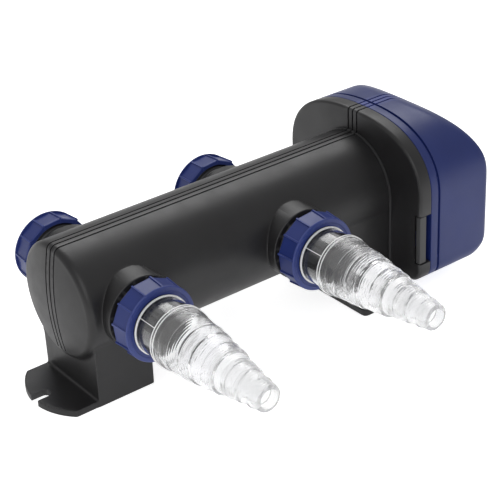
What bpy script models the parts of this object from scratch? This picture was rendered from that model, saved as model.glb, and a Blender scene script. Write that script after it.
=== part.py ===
"""A pond UV clarifier: a black water chamber on two feet, with a union and a stepped hose tail on each
front port, a blanked union on each rear port, and a blue electrical head that holds the lamp.

Frame: the origin is under the near foot, where its mounting tab meets the pedestal. +X runs along the
chamber towards the head, -Y is the side the hoses leave from, +Z is up. Sizes below are in millimetres.
"""
import math

import bmesh
import bpy
from mathutils import Matrix, Vector

MM = 0.001
GAP = 0.3                      # clearance between pieces that touch
TRIM = 6.0                     # spare length that the trimming cuts remove

# Chamber
CHAMBER_AXIS_Z = 72.5
CHAMBER_RADIUS = 43.3
CHAMBER_WALL = 3.5
CHAMBER_END_X = 264.2
DOME_TIP_X = -9.6
DOME_SAG = 4.0                 # how far the shallow dome falls away before its rounded edge
DOME_EDGE_RADIUS = 5.0

# Feet
NEAR_FOOT_END_X = 46.2
NEAR_FOOT_HALF_WIDTH = 34.0
NEAR_FOOT_TOP_HALF_WIDTH = 36.0
FAR_FOOT_START_X = 217.0
FAR_FOOT_HALF_WIDTH = 42.5
FAR_FOOT_INNER_END_X = 250.0
FOOT_WALL = 4.0
FOOT_HOLLOW_TOP_Z = 25.0
TAB_THICKNESS = 4.8
TAB_HALF_WIDTH = 33.8
TAB_SIDE_X = -18.2
TAB_ARC_RADIUS = 48.0
TAB_SLOT_WIDTH = 9.0
TAB_SLOT_INNER_X = -19.0
FAR_TAB_HALF_WIDTH = 68.0
FAR_TAB_END_X = 250.0
FAR_TAB_HOLE_X = 234.0
FAR_TAB_HOLE_Y = 56.0
FAR_TAB_HOLE_RADIUS = 4.5

# Ports and unions
PORT_X = {"inlet": 31.5, "outlet": 172.2}
PORT_BORE_RADIUS = 16.8
NOZZLE_RADIUS = 17.7           # the front bores go on into the tails' necks
NOZZLE_REACH = 87.0
COLLAR_RADIUS = 27.3
FRONT_COLLAR_REACH = 51.5
REAR_COLLAR_REACH = 45.5
SPIGOT_RADIUS = 23.2
SPIGOT_REACH = 62.0
NUT_START = 56.2
NUT_END = 72.7
NUT_RADIUS = 29.0
NUT_BORE_RADIUS = 23.7
NUT_LIP_RADIUS = 21.4
NUT_LIP_DEPTH = 3.2
NUT_FLUTES = 12
NUT_FLUTE_DEPTH = 1.5
NUT_RIM = 1.2
NUT_CHAMFER = 0.8
SEAL_THICKNESS = 2.2
SEAL_RADII = (18.6, 22.8)
FLANGE_RADIUS = 23.2
FLANGE_THICKNESS = 4.2

# Hose tail, distances along the port axis from the chamber's mid-plane
TAIL_NECK_RADIUS = 20.9
TAIL_NECK_END = 92.0
TAIL_STEPS = ((107.5, 22.5, 20.6), (129.5, 20.6, 19.0), (150.0, 18.0, 16.0),
              (169.5, 14.4, 12.2), (188.0, 11.4, 9.4))
TAIL_WALL = 2.6
TAIL_TIP_CHAMFER = 1.2

# Head outline: a superellipse arch over straight sides
HEAD_HALF_WIDTH = 76.0
HEAD_SPRING_Z = 80.0
HEAD_TOP_Z = 134.0
HEAD_POWER = 2.38
HEAD_BOTTOM_Z = 12.0
HEAD_CORNER_RADIUS = 12.0
BASE_START_X = 264.5
BASE_END_X = 275.5
RING_END_X = 283.4
COVER_END_X = 336.5
COVER_CROWN_X = 299.0          # centre of the elliptic far end, seen from the side
COVER_CROWN_Z = 78.0
COVER_CORNER_RADIUS = 16.0
COVER_WALL = 2.6

# Lid spigot and sleeve clamp
LID_SPIGOT_RADIUS = 39.3
LID_SPIGOT_BORE = 33.0
LID_SPIGOT_X = 252.0
O_RING_X = (256.9, 259.9)
O_RING_RADII = (37.2, 39.5)
SLEEVE_RADIUS = 11.5
SLEEVE_WALL = 1.4
SLEEVE_TIP_X = 14.0
SLEEVE_OPEN_X = 283.0
NECK_RADIUS = 17.6
NECK_END_X = 286.0
NECK_SEAL_RADIUS = 15.0
NECK_SEAL_X = 279.0
SLEEVE_NUT_RADIUS = 22.0
SLEEVE_NUT_X = (277.0, 290.0)

# Side latches: X, then distance out from the mid-plane
LATCH_Z = (30.0, 69.0)
LATCH_POCKET_Y = 62.5
LATCH_WALL = 1.2               # thickness of the pocket's near wall
LATCH_WALL_END_Y = 69.6        # the near wall stops short of the latch's eye
LATCH_PIN = (266.6, 72.0)
LATCH_PIN_RADIUS = 0.9
LATCH_EYE_RADIUS = 2.0
LATCH_FACE_Y = 75.2
LATCH_EDGE_X = 271.3
LATCH_HOOK_THICKNESS = 1.7
LATCH_HOOK_DEPTH = 6.5
BARB_Z = (42.0, 54.0)
BARB_TIP_X = 267.6
BARB_HEAD_X = 269.2
BARB_Y = (66.4, 68.3, 69.6)    # inner face, outer face of the arm, tip

# Screws
SCREW_RADIUS = 1.8
SCREW_HOLE_RADIUS = 2.1
SCREW_HEAD_RADIUS = 3.6
SCREW_HEAD_HEIGHT = 2.4
SCREW_SEAT_RADIUS = 4.0
COVER_SCREWS = ((-62.0, 95.0), (62.0, 95.0), (-62.0, 30.0), (62.0, 30.0))
COVER_SCREW_X = 276.1
COVER_SCREW_LENGTH = 19.0
COVER_POST_RADIUS = 4.5
COVER_POST_END_X = 303.0
COVER_WEB_HALF_THICKNESS = 1.2
COVER_WEB_REACH = {30.0: 74.5, 95.0: 73.0}     # where each web ends in the wall, by its height
BASE_SCREWS = ((-33.0, 16.5), (33.0, 16.5))
BASE_SCREW_X = 275.2
BASE_SCREW_LENGTH = 21.0

# Lamp and electrics
LAMP_RADIUS = 7.7
LAMP_X = (28.0, 262.0)
LAMP_BASE_RADIUS = 8.7
LAMP_BASE_END_X = 290.2
PIN_CIRCLE = 4.2
PIN_RADIUS = 1.0
PIN_HOLE_RADIUS = 1.4
PIN_END_X = 295.8
SOCKET_RADIUS = 11.7
SOCKET_X = (290.5, 306.0)
HOLDER_X = (283.7, 299.0)
HOLDER_RADII = (25.5, 29.0)
BALLAST_LOW = (287.0, -55.0, 18.0)
BALLAST_HIGH = (322.0, 55.0, 41.5)

# Cable gland: places along X are counted from the cover's far end
GLAND_Y = 42.0
GLAND_Z = 62.0
GLAND_RADIUS = 6.0
GLAND_BORE = 3.2
GLAND_FLANGE_RADIUS = 8.5
GLAND_FLANGE = (-6.0, -3.0)
GLAND_THREAD_END = 8.0
GLAND_NUT = (0.4, 9.0, 12.5)   # start, shoulder, end
GLAND_NUT_RADIUS = 9.0


def material(name, colour, roughness, metallic=0.0, alpha=1.0):
    made = bpy.data.materials.new(name)
    made.use_nodes = True
    shader = made.node_tree.nodes["Principled BSDF"]
    shader.inputs["Base Color"].default_value = (*colour, 1.0)
    shader.inputs["Roughness"].default_value = roughness
    shader.inputs["Metallic"].default_value = metallic
    shader.inputs["Alpha"].default_value = alpha
    return made


def finish(bm, name, surface=None):
    """Turns a bmesh in millimetres into an object in metres."""
    bmesh.ops.remove_doubles(bm, verts=bm.verts, dist=1e-4)
    bmesh.ops.recalc_face_normals(bm, faces=bm.faces)
    bmesh.ops.scale(bm, vec=(MM, MM, MM), verts=bm.verts)
    mesh = bpy.data.meshes.new(name)
    bm.to_mesh(mesh)
    bm.free()
    mesh.shade_smooth()
    mesh.set_sharp_from_angle(angle=math.radians(35))
    made = bpy.data.objects.new(name, mesh)
    bpy.context.scene.collection.objects.link(made)
    if surface:
        mesh.materials.append(surface)
    else:
        made.hide_render = True
        made.display_type = "WIRE"
    return made


def set_origin(made, point):
    """Moves an object's origin to a point in millimetres without moving its mesh."""
    offset = Vector(point) * MM
    made.data.transform(Matrix.Translation(-offset))
    made.location = offset


def axis_frame(origin, direction):
    """A matrix whose Z is the direction and whose origin is the point."""
    turn = Vector(direction).to_track_quat("Z", "Y").to_matrix().to_4x4()
    return Matrix.Translation(Vector(origin)) @ turn


def turned(name, profile, origin, direction, surface=None, segments=28):
    """A solid of revolution. The profile holds (distance along the axis, radius) pairs round the section."""
    bm = bmesh.new()
    verts = [bm.verts.new((radius, 0.0, along)) for along, radius in profile]
    pairs = list(zip(verts, verts[1:]))
    if min(radius for _, radius in profile) > 0:
        pairs.append((verts[-1], verts[0]))
    edges = [bm.edges.new(pair) for pair in pairs]
    bmesh.ops.spin(bm, geom=verts + edges, cent=(0, 0, 0), axis=(0, 0, 1), angle=math.tau,
                   steps=segments, use_merge=True)
    bmesh.ops.remove_doubles(bm, verts=bm.verts, dist=1e-4)
    bmesh.ops.dissolve_degenerate(bm, edges=bm.edges, dist=1e-4)
    bmesh.ops.transform(bm, matrix=axis_frame(origin, direction), verts=bm.verts)
    return finish(bm, name, surface)


def ring(name, near, far, inner, outer, origin, direction, surface=None, segments=28):
    profile = ((near, inner), (near, outer), (far, outer), (far, inner))
    return turned(name, profile, origin, direction, surface, segments)


def rod(name, near, far, radius, origin, direction, surface=None, segments=28):
    profile = ((near, 0.0), (near, radius), (far, radius), (far, 0.0))
    return turned(name, profile, origin, direction, surface, segments)


def prism(name, outline, place, surface=None):
    """Joins a closed outline at two stations. place(u, v, end) gives the 3-D point, with end 0 or 1."""
    bm = bmesh.new()
    ends = [[bm.verts.new(place(u, v, end)) for u, v in outline] for end in (0, 1)]
    count = len(outline)
    for i in range(count):
        following = (i + 1) % count
        bm.faces.new((ends[0][i], ends[0][following], ends[1][following], ends[1][i]))
    bm.faces.new(ends[0])
    bm.faces.new(ends[1])
    return finish(bm, name, surface)


def along_x(low, high):
    return lambda u, v, end: (high if end else low, u, v)


def along_y(low, high):
    return lambda u, v, end: (u, high if end else low, v)


def along_z(low, high):
    return lambda u, v, end: (u, v, high if end else low)


def block(name, low, high, surface=None):
    outline = ((low[0], low[1]), (high[0], low[1]), (high[0], high[1]), (low[0], high[1]))
    return prism(name, outline, along_z(low[2], high[2]), surface)


def combine(target, operation, others, solver="EXACT"):
    for other in others:
        modifier = target.modifiers.new(other.name, "BOOLEAN")
        modifier.operation = operation
        modifier.solver = solver
        modifier.object = other
    return target


def arc(centre, radius, start, end, steps):
    """Points on an arc, with its angles in degrees."""
    angles = [math.radians(start + (end - start) * i / steps) for i in range(steps + 1)]
    return [(centre[0] + radius * math.cos(a), centre[1] + radius * math.sin(a)) for a in angles]


def head_outline(inset=0.0, steps=20):
    """The head's arch in the YZ plane, anticlockwise from the bottom left corner."""
    half = HEAD_HALF_WIDTH - inset
    rise = HEAD_TOP_Z - HEAD_SPRING_Z - inset
    bottom = HEAD_BOTTOM_Z + inset
    corner = HEAD_CORNER_RADIUS - inset
    points = arc((-half + corner, bottom + corner), corner, 180, 270, 3)
    points += arc((half - corner, bottom + corner), corner, 270, 360, 3)
    for i in range(steps + 1):
        angle = math.pi * i / steps
        across = math.copysign(abs(math.cos(angle)) ** (2 / HEAD_POWER), math.cos(angle))
        up = math.sin(angle) ** (2 / HEAD_POWER)
        points.append((half * across, HEAD_SPRING_Z + rise * up))
    return points


def cover_side(inset=0.0):
    """The cover's side view in the XZ plane: a flat top that rolls over into the far end."""
    start = RING_END_X - 5.0
    end = COVER_END_X - inset
    top = HEAD_TOP_Z - inset
    bottom = HEAD_BOTTOM_Z + inset
    corner = COVER_CORNER_RADIUS - inset
    points = [(start, bottom)]
    points += arc((end - corner, bottom + corner), corner, 270, 360, 4)
    for i in range(13):
        angle = math.pi / 2 * i / 12
        points.append((COVER_CROWN_X + (end - COVER_CROWN_X) * math.cos(angle),
                       COVER_CROWN_Z + (top - COVER_CROWN_Z) * math.sin(angle)))
    points.append((start, top))
    return points


def dome_profile(inset, far, cap_steps=4, edge_steps=4):
    """A tube with a shallow domed end and a rounded edge, from the end's centre to the open end at far."""
    edge = DOME_EDGE_RADIUS - min(inset, DOME_EDGE_RADIUS - 1)
    tip = DOME_TIP_X + inset
    cap_radius = CHAMBER_RADIUS - inset - edge
    points = [(tip + DOME_SAG * (i / cap_steps) ** 2, cap_radius * i / cap_steps) for i in range(cap_steps)]
    points += arc((tip + DOME_SAG + edge, cap_radius), edge, 180, 90, edge_steps)
    return points + [(far, CHAMBER_RADIUS - inset), (far, 0.0)]


def foot_tabs():
    """Outlines of the near foot's tab, with its slot, and of the far foot's tab, both in the XY plane."""
    sweep = math.degrees(math.asin(TAB_HALF_WIDTH / TAB_ARC_RADIUS))
    centre_x = TAB_SIDE_X + TAB_ARC_RADIUS * math.cos(math.radians(sweep))
    near = [(FOOT_WALL - 1, -TAB_HALF_WIDTH), (FOOT_WALL - 1, TAB_HALF_WIDTH)]
    near += arc((centre_x, 0.0), TAB_ARC_RADIUS, 180 - sweep, 180 + sweep, 16)
    start = FAR_FOOT_START_X - 1
    far = [(start, -FAR_TAB_HALF_WIDTH), (FAR_TAB_END_X, -FAR_TAB_HALF_WIDTH),
           (FAR_TAB_END_X, FAR_TAB_HALF_WIDTH), (start, FAR_TAB_HALF_WIDTH)]
    return near, far


def port_cutter(name, x):
    """One bore straight through both walls at a port position."""
    return rod(name, -90.0, 90.0, PORT_BORE_RADIUS, (x, 0, CHAMBER_AXIS_Z), (0, 1, 0))


def make_body(surface):
    axis = (0, 0, CHAMBER_AXIS_Z)
    shell = turned("body_shell", dome_profile(0.0, CHAMBER_END_X + TRIM), axis, (1, 0, 0), surface, 36)
    low, high = NEAR_FOOT_HALF_WIDTH, NEAR_FOOT_TOP_HALF_WIDTH
    pedestal = prism("near_pedestal", ((-low, -TRIM), (low, -TRIM), (high, 62), (-high, 62)),
                     along_x(0, NEAR_FOOT_END_X))
    wide = FAR_FOOT_HALF_WIDTH
    far_foot = prism("far_pedestal", ((-wide, -TRIM), (wide, -TRIM), (wide, 75), (-wide, 75)),
                     along_x(FAR_FOOT_START_X, CHAMBER_END_X + TRIM + 1))
    near_tab, far_tab = foot_tabs()
    added = [pedestal, far_foot, prism("near_tab", near_tab, along_z(1 - TRIM, TAB_THICKNESS)),
             prism("far_tab", far_tab, along_z(1 - TRIM, TAB_THICKNESS))]
    cutters = [block("floor_trim", (-90, -120, -40), (400, 120, 0)),
               block("end_trim", (CHAMBER_END_X, -120, -60), (CHAMBER_END_X + 40, 120, 200))]
    for port, x in PORT_X.items():
        centre = (x, 0, CHAMBER_AXIS_Z)
        added.append(rod(f"{port}_front_collar", 25, FRONT_COLLAR_REACH, COLLAR_RADIUS, centre, (0, -1, 0)))
        added.append(rod(f"{port}_rear_collar", 25, REAR_COLLAR_REACH, COLLAR_RADIUS, centre, (0, 1, 0)))
        added.append(rod(f"{port}_spigots", -SPIGOT_REACH, SPIGOT_REACH, SPIGOT_RADIUS, centre, (0, 1, 0)))
        added.append(rod(f"{port}_nozzle", 25, NOZZLE_REACH, NOZZLE_RADIUS, centre, (0, -1, 0)))
        cutters.append(port_cutter(f"{port}_bore", x))
    cutters.append(turned("water_space", dome_profile(CHAMBER_WALL, CHAMBER_END_X + 9), axis, (1, 0, 0),
                          None, 36))
    cutters.append(block("near_foot_hollow", (FOOT_WALL, FOOT_WALL - low, -5),
                         (NEAR_FOOT_END_X - FOOT_WALL, low - FOOT_WALL, FOOT_HOLLOW_TOP_Z)))
    cutters.append(block("far_foot_hollow", (FAR_FOOT_START_X + FOOT_WALL, FOOT_WALL - wide, -5),
                         (FAR_FOOT_INNER_END_X, wide - FOOT_WALL, FOOT_HOLLOW_TOP_Z)))
    half = TAB_SLOT_WIDTH / 2
    slot = [(-60, half), (-60, -half)] + arc((TAB_SLOT_INNER_X - half, 0), half, -90, 90, 10)
    cutters.append(prism("tab_slot", slot, along_z(-3, 9)))
    for side in (-1, 1):
        cutters.append(rod(f"far_tab_hole_{side + 1}", -3, 9, FAR_TAB_HOLE_RADIUS,
                           (FAR_TAB_HOLE_X, side * FAR_TAB_HOLE_Y, 0), (0, 0, 1), None, 20))
    for i, (y, z) in enumerate(BASE_SCREWS):
        cutters.append(rod(f"body_screw_hole_{i}", 252.5, 270, SCREW_HOLE_RADIUS, (0, y, z), (1, 0, 0),
                           None, 8))
    # The exact solver leaves open edges where the collars meet the faceted tube.
    combine(shell, "UNION", added, "MANIFOLD")
    return combine(shell, "DIFFERENCE", cutters, "MANIFOLD")


def make_union_nut(name, x, facing, surface):
    """A fluted union nut: a thin rim at its outer face, twelve shallow flats behind it."""
    centre = (x, 0, CHAMBER_AXIS_Z)
    lip = NUT_END - NUT_LIP_DEPTH
    profile = ((NUT_START, NUT_BORE_RADIUS), (NUT_START, NUT_RADIUS - NUT_CHAMFER),
               (NUT_START + NUT_CHAMFER, NUT_RADIUS), (NUT_END - NUT_CHAMFER, NUT_RADIUS),
               (NUT_END, NUT_RADIUS - NUT_CHAMFER), (NUT_END, NUT_LIP_RADIUS), (lip, NUT_LIP_RADIUS),
               (lip, NUT_BORE_RADIUS))
    nut = turned(name, profile, centre, (0, facing, 0), surface, 36)
    nut_cutters = []
    reach = NUT_RADIUS - NUT_FLUTE_DEPTH
    half = NUT_RADIUS * math.sin(math.pi / NUT_FLUTES) - 1.2
    near, far = sorted((facing * (NUT_START - 2), facing * (NUT_END - NUT_RIM)))
    for i in range(NUT_FLUTES):
        turn = math.tau * (i + 0.5) / NUT_FLUTES
        out = Vector((math.cos(turn), 0, math.sin(turn)))
        side = Vector((-math.sin(turn), 0, math.cos(turn)))
        outline = ((reach, -half), (reach + 6, -half), (reach + 6, half), (reach, half))

        def place(u, v, end, out=out, side=side):
            point = Vector(centre) + out * u + side * v
            return (point.x, far if end else near, point.z)

        nut_cutters.append(prism(f"{name}_flat_{i}", outline, place))
    combine(nut, "DIFFERENCE", nut_cutters)
    set_origin(nut, centre)
    return nut


def make_hose_tail(name, x, surface):
    """A clear stepped tail, bored right through, that the nut clamps by its flange."""
    centre = (x, 0, CHAMBER_AXIS_Z)
    seat = SPIGOT_REACH + SEAL_THICKNESS + 2 * GAP
    outer = [(seat, FLANGE_RADIUS), (seat + FLANGE_THICKNESS, FLANGE_RADIUS),
             (seat + FLANGE_THICKNESS, TAIL_NECK_RADIUS), (TAIL_NECK_END, TAIL_NECK_RADIUS)]
    inner = [(seat, TAIL_NECK_RADIUS - TAIL_WALL), (TAIL_NECK_END, TAIL_NECK_RADIUS - TAIL_WALL)]
    for end, first, last in TAIL_STEPS:
        start = outer[-1][0]
        outer += [(start + 0.5, first), (end, last)]
        inner += [(start + 3, last - TAIL_WALL), (end, last - TAIL_WALL)]
    outer[-1] = (outer[-1][0] - TAIL_TIP_CHAMFER, outer[-1][1])
    outer.append((TAIL_STEPS[-1][0], TAIL_STEPS[-1][2] - TAIL_TIP_CHAMFER))
    tail = turned(name, outer + inner[::-1], centre, (0, -1, 0), surface, 24)
    set_origin(tail, centre)
    return tail


def make_ports(blue, clear, rubber):
    seal = (SPIGOT_REACH + GAP, SPIGOT_REACH + GAP + SEAL_THICKNESS)
    plug_start = seal[1] + GAP
    for port, x in PORT_X.items():
        centre = (x, 0, CHAMBER_AXIS_Z)
        make_union_nut(f"{port}_union_nut", x, -1, blue)
        make_hose_tail(f"{port}_hose_tail", x, clear)
        ring(f"{port}_front_seal", *seal, *SEAL_RADII, centre, (0, -1, 0), rubber, 20)
        make_union_nut(f"{port}_rear_nut", x, 1, blue)
        ring(f"{port}_rear_seal", *seal, *SEAL_RADII, centre, (0, 1, 0), rubber, 20)
        step = plug_start + FLANGE_THICKNESS
        plug = ((plug_start, 0), (plug_start, FLANGE_RADIUS), (step, FLANGE_RADIUS),
                (step, TAIL_NECK_RADIUS), (NUT_END - 1.0, TAIL_NECK_RADIUS), (NUT_END - 1.0, 0))
        turned(f"{port}_blanking_plug", plug, centre, (0, 1, 0), blue, 24)


def latch_pocket(name, side):
    """Cutters for the recess behind a latch, and for its mouth where the latch's near edge swings."""
    low_z, high_z = LATCH_Z[0] - 1, LATCH_Z[1] + 1
    recess = sorted((side * LATCH_POCKET_Y, side * 90.0))
    mouth = sorted((side * LATCH_WALL_END_Y, side * 90.0))
    return [block(f"{name}_recess", (BASE_START_X + LATCH_WALL, recess[0], low_z),
                  (BASE_END_X + 5, recess[1], high_z)),
            block(f"{name}_mouth", (BASE_START_X - 5, mouth[0], low_z), (BASE_START_X + 3, mouth[1], high_z))]


def make_head_base(surface):
    base = prism("head_base", head_outline(), along_x(BASE_START_X, BASE_END_X), surface)
    axis = (0, 0, CHAMBER_AXIS_Z)
    spigot = ((LID_SPIGOT_X, LID_SPIGOT_BORE), (LID_SPIGOT_X, LID_SPIGOT_RADIUS),
              (O_RING_X[0] - GAP, LID_SPIGOT_RADIUS), (O_RING_X[0] - GAP, O_RING_RADII[0] - GAP),
              (O_RING_X[1] + GAP, O_RING_RADII[0] - GAP), (O_RING_X[1] + GAP, LID_SPIGOT_RADIUS),
              (BASE_START_X + 3, LID_SPIGOT_RADIUS), (BASE_START_X + 3, LID_SPIGOT_BORE))
    added = [turned("lid_spigot", spigot, axis, (1, 0, 0), None, 28),
             rod("sleeve_neck", BASE_START_X + 4, NECK_END_X, NECK_RADIUS, axis, (1, 0, 0))]
    cutters = [rod("neck_bore", 240, 300, SLEEVE_RADIUS + 0.6, axis, (1, 0, 0)),
               rod("neck_seal_seat", NECK_SEAL_X - GAP, 300, NECK_SEAL_RADIUS, axis, (1, 0, 0))]
    for side, where in ((-1, "front"), (1, "rear")):
        cutters += latch_pocket(f"{where}_latch_pocket", side)
        pin_place = (LATCH_PIN[0], side * LATCH_PIN[1], 0)
        cutters.append(rod(f"{where}_latch_pin_hole", LATCH_Z[0] - 6, LATCH_Z[1] + 6, LATCH_PIN_RADIUS + GAP,
                           pin_place, (0, 0, 1), None, 8))
    for i, (y, z) in enumerate(BASE_SCREWS):
        root = (0, y, z)
        seat = BASE_SCREW_X - SCREW_HEAD_HEIGHT - 0.8
        cutters.append(rod(f"base_screw_hole_{i}", 250, 280, SCREW_HOLE_RADIUS, root, (1, 0, 0), None, 8))
        cutters.append(rod(f"base_screw_head_{i}", seat, 280, SCREW_SEAT_RADIUS, root, (1, 0, 0), None, 10))
    # The exact solver leaves open edges round the latch pockets.
    combine(base, "UNION", added, "MANIFOLD")
    return combine(base, "DIFFERENCE", cutters, "MANIFOLD")


def make_latch(side, where, black, steel):
    """A swinging side catch: its hook holds the barb that reaches back from the head ring."""
    x, out = LATCH_PIN
    hook_x = LATCH_EDGE_X - LATCH_HOOK_THICKNESS
    hook_y = LATCH_FACE_Y - LATCH_HOOK_DEPTH
    outline = [(x - 1.5, LATCH_FACE_Y), (LATCH_EDGE_X, LATCH_FACE_Y), (LATCH_EDGE_X, hook_y),
               (hook_x, hook_y), (hook_x, out + 0.7), (x + LATCH_EYE_RADIUS, out + 0.7)]
    outline += arc((x, out), LATCH_EYE_RADIUS, 0, -180, 6)
    outline = [(u, side * v) for u, v in outline]
    latch = prism(f"{where}_latch", outline, along_z(*LATCH_Z), black)
    hole = rod(f"{where}_latch_eye", LATCH_Z[0] - 3, LATCH_Z[1] + 3, LATCH_PIN_RADIUS + GAP,
               (x, side * out, 0), (0, 0, 1), None, 8)
    combine(latch, "DIFFERENCE", [hole])
    set_origin(latch, (x, side * out, 0))
    rod(f"{where}_latch_pin", LATCH_Z[0] - 5, LATCH_Z[1] + 5, LATCH_PIN_RADIUS, (x, side * out, 0),
        (0, 0, 1), steel, 8)


def make_head_ring(surface):
    start = BASE_END_X + GAP
    tray = prism("head_ring", head_outline(), along_x(start, RING_END_X), surface)
    axis = (0, 0, CHAMBER_AXIS_Z)
    cutters = [rod("ring_opening", 260, 300, SLEEVE_NUT_RADIUS + 1.5, axis, (1, 0, 0))]
    for i, (y, z) in enumerate(COVER_SCREWS):
        root = (0, y, z)
        seat = COVER_SCREW_X + SCREW_HEAD_HEIGHT + 0.4
        cutters.append(rod(f"ring_screw_hole_{i}", 260, 300, SCREW_HOLE_RADIUS, root, (1, 0, 0), None, 8))
        cutters.append(rod(f"ring_screw_head_{i}", 260, seat, SCREW_SEAT_RADIUS, root, (1, 0, 0), None, 10))
    added = []
    root_x = start + 2
    inner, outer, tip = BARB_Y
    for side in (-1, 1):
        arm = ((root_x, inner), (BARB_TIP_X, inner), (BARB_TIP_X, tip), (BARB_HEAD_X, tip),
               (BARB_HEAD_X, outer), (root_x, outer))
        outline = [(x, side * y) for x, y in arm]
        added.append(prism(f"barb_{side + 1}", outline, along_z(*BARB_Z)))
    combine(tray, "DIFFERENCE", cutters)
    return combine(tray, "UNION", added)


def make_head_cover(surface):
    start = RING_END_X + GAP
    cover = prism("head_cover", head_outline(), along_x(start, COVER_END_X + 5), surface)
    combine(cover, "INTERSECT", [prism("cover_side", cover_side(), along_y(-90, 90))])
    inside = prism("cover_inside", head_outline(COVER_WALL), along_x(start - 3, COVER_END_X + 5))
    combine(inside, "INTERSECT", [prism("cover_inside_side", cover_side(COVER_WALL), along_y(-90, 90))])
    gland_hole = rod("gland_hole", COVER_END_X - 15, COVER_END_X + 10, GLAND_RADIUS + GAP,
                     (0, GLAND_Y, GLAND_Z), (1, 0, 0), None, 24)
    combine(cover, "DIFFERENCE", [inside, gland_hole])
    posts = []
    holes = []
    for i, (y, z) in enumerate(COVER_SCREWS):
        root = Vector((0, y, z))
        web = sorted((y, math.copysign(COVER_WEB_REACH[z], y)))
        low = (start, web[0], z - COVER_WEB_HALF_THICKNESS)
        high = (COVER_POST_END_X, web[1], z + COVER_WEB_HALF_THICKNESS)
        posts.append(rod(f"screw_post_{i}", start, COVER_POST_END_X, COVER_POST_RADIUS, root, (1, 0, 0),
                         None, 10))
        posts.append(block(f"screw_web_{i}", low, high))
        holes.append(rod(f"screw_post_hole_{i}", start - 5, COVER_POST_END_X - 6, SCREW_HOLE_RADIUS, root,
                         (1, 0, 0), None, 8))
    combine(cover, "UNION", posts)
    return combine(cover, "DIFFERENCE", holes)


def make_screw(name, head_x, direction, length, place, surface):
    """A pan-head screw whose head starts at head_x and whose shank runs along +X or -X."""
    profile = ((0, 0), (0, SCREW_HEAD_RADIUS), (SCREW_HEAD_HEIGHT, SCREW_HEAD_RADIUS),
               (SCREW_HEAD_HEIGHT, SCREW_RADIUS), (length, SCREW_RADIUS), (length, 0))
    return turned(name, profile, (head_x, *place), (direction, 0, 0), surface, 10)


def make_sleeve_and_lamp(glass, lamp_glass, white, rubber, grey, steel):
    axis = (0, 0, CHAMBER_AXIS_Z)
    inner = SLEEVE_RADIUS - SLEEVE_WALL
    outer_cap = [(SLEEVE_TIP_X + SLEEVE_RADIUS - u, v) for u, v in arc((0, 0), SLEEVE_RADIUS, 0, 90, 4)]
    inner_cap = [(SLEEVE_TIP_X + SLEEVE_RADIUS - u, v) for u, v in arc((0, 0), inner, 90, 0, 4)]
    outer_cap[0] = (SLEEVE_TIP_X, 0.0)
    inner_cap[-1] = (SLEEVE_TIP_X + SLEEVE_WALL, 0.0)
    profile = outer_cap + [(SLEEVE_OPEN_X, SLEEVE_RADIUS), (SLEEVE_OPEN_X, inner)] + inner_cap
    turned("quartz_sleeve", profile, axis, (1, 0, 0), glass, 20)
    ring("sleeve_seal", NECK_SEAL_X, NECK_SEAL_X + 3.6, SLEEVE_RADIUS + GAP, NECK_SEAL_RADIUS - GAP, axis,
         (1, 0, 0), rubber, 20)
    nut = ((SLEEVE_NUT_X[0], NECK_RADIUS + 0.5), (SLEEVE_NUT_X[0], SLEEVE_NUT_RADIUS),
           (SLEEVE_NUT_X[1], SLEEVE_NUT_RADIUS), (SLEEVE_NUT_X[1], SLEEVE_RADIUS + 0.9),
           (NECK_END_X + GAP, SLEEVE_RADIUS + 0.9), (NECK_END_X + GAP, NECK_RADIUS + 0.5))
    set_origin(turned("sleeve_nut", nut, axis, (1, 0, 0), grey, 20), axis)
    tip = [(LAMP_X[0] + LAMP_RADIUS - u, v) for u, v in arc((0, 0), LAMP_RADIUS, 0, 90, 3)]
    tip[0] = (LAMP_X[0], 0.0)
    turned("uv_lamp", tip + [(LAMP_X[1], LAMP_RADIUS), (LAMP_X[1], 0.0)], axis, (1, 0, 0), lamp_glass, 16)
    base = rod("lamp_base", LAMP_X[1] + GAP, LAMP_BASE_END_X, LAMP_BASE_RADIUS, axis, (1, 0, 0), white, 16)
    socket = rod("lamp_socket", *SOCKET_X, SOCKET_RADIUS, axis, (1, 0, 0), white, 16)
    pins = []
    holes = []
    for i in range(4):
        turn = math.pi / 4 + math.tau * i / 4
        place = (0, PIN_CIRCLE * math.cos(turn), CHAMBER_AXIS_Z + PIN_CIRCLE * math.sin(turn))
        pins.append(rod(f"lamp_pin_{i}", LAMP_BASE_END_X - 3, PIN_END_X, PIN_RADIUS, place, (1, 0, 0),
                        None, 8))
        holes.append(rod(f"pin_hole_{i}", SOCKET_X[0] - 3, PIN_END_X + 1, PIN_HOLE_RADIUS, place, (1, 0, 0),
                         None, 10))
    combine(base, "UNION", pins)
    combine(socket, "DIFFERENCE", holes)
    holder = ((HOLDER_X[0], HOLDER_RADII[0]), (HOLDER_X[0], HOLDER_RADII[1]), (HOLDER_X[1], HOLDER_RADII[1]),
              (HOLDER_X[1], SOCKET_RADIUS + GAP), (HOLDER_X[1] - 3, SOCKET_RADIUS + GAP),
              (HOLDER_X[1] - 3, HOLDER_RADII[0]))
    turned("lamp_holder", holder, axis, (1, 0, 0), grey, 20)
    ring("head_o_ring", *O_RING_X, *O_RING_RADII, axis, (1, 0, 0), rubber, 28)
    block("ballast", BALLAST_LOW, BALLAST_HIGH, grey)
    for i, (y, z) in enumerate(COVER_SCREWS):
        make_screw(f"cover_screw_{i + 1}", COVER_SCREW_X, 1, COVER_SCREW_LENGTH, (y, z), steel)
    for i, (y, z) in enumerate(BASE_SCREWS):
        make_screw(f"base_screw_{i + 1}", BASE_SCREW_X, -1, BASE_SCREW_LENGTH, (y, z), steel)


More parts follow.
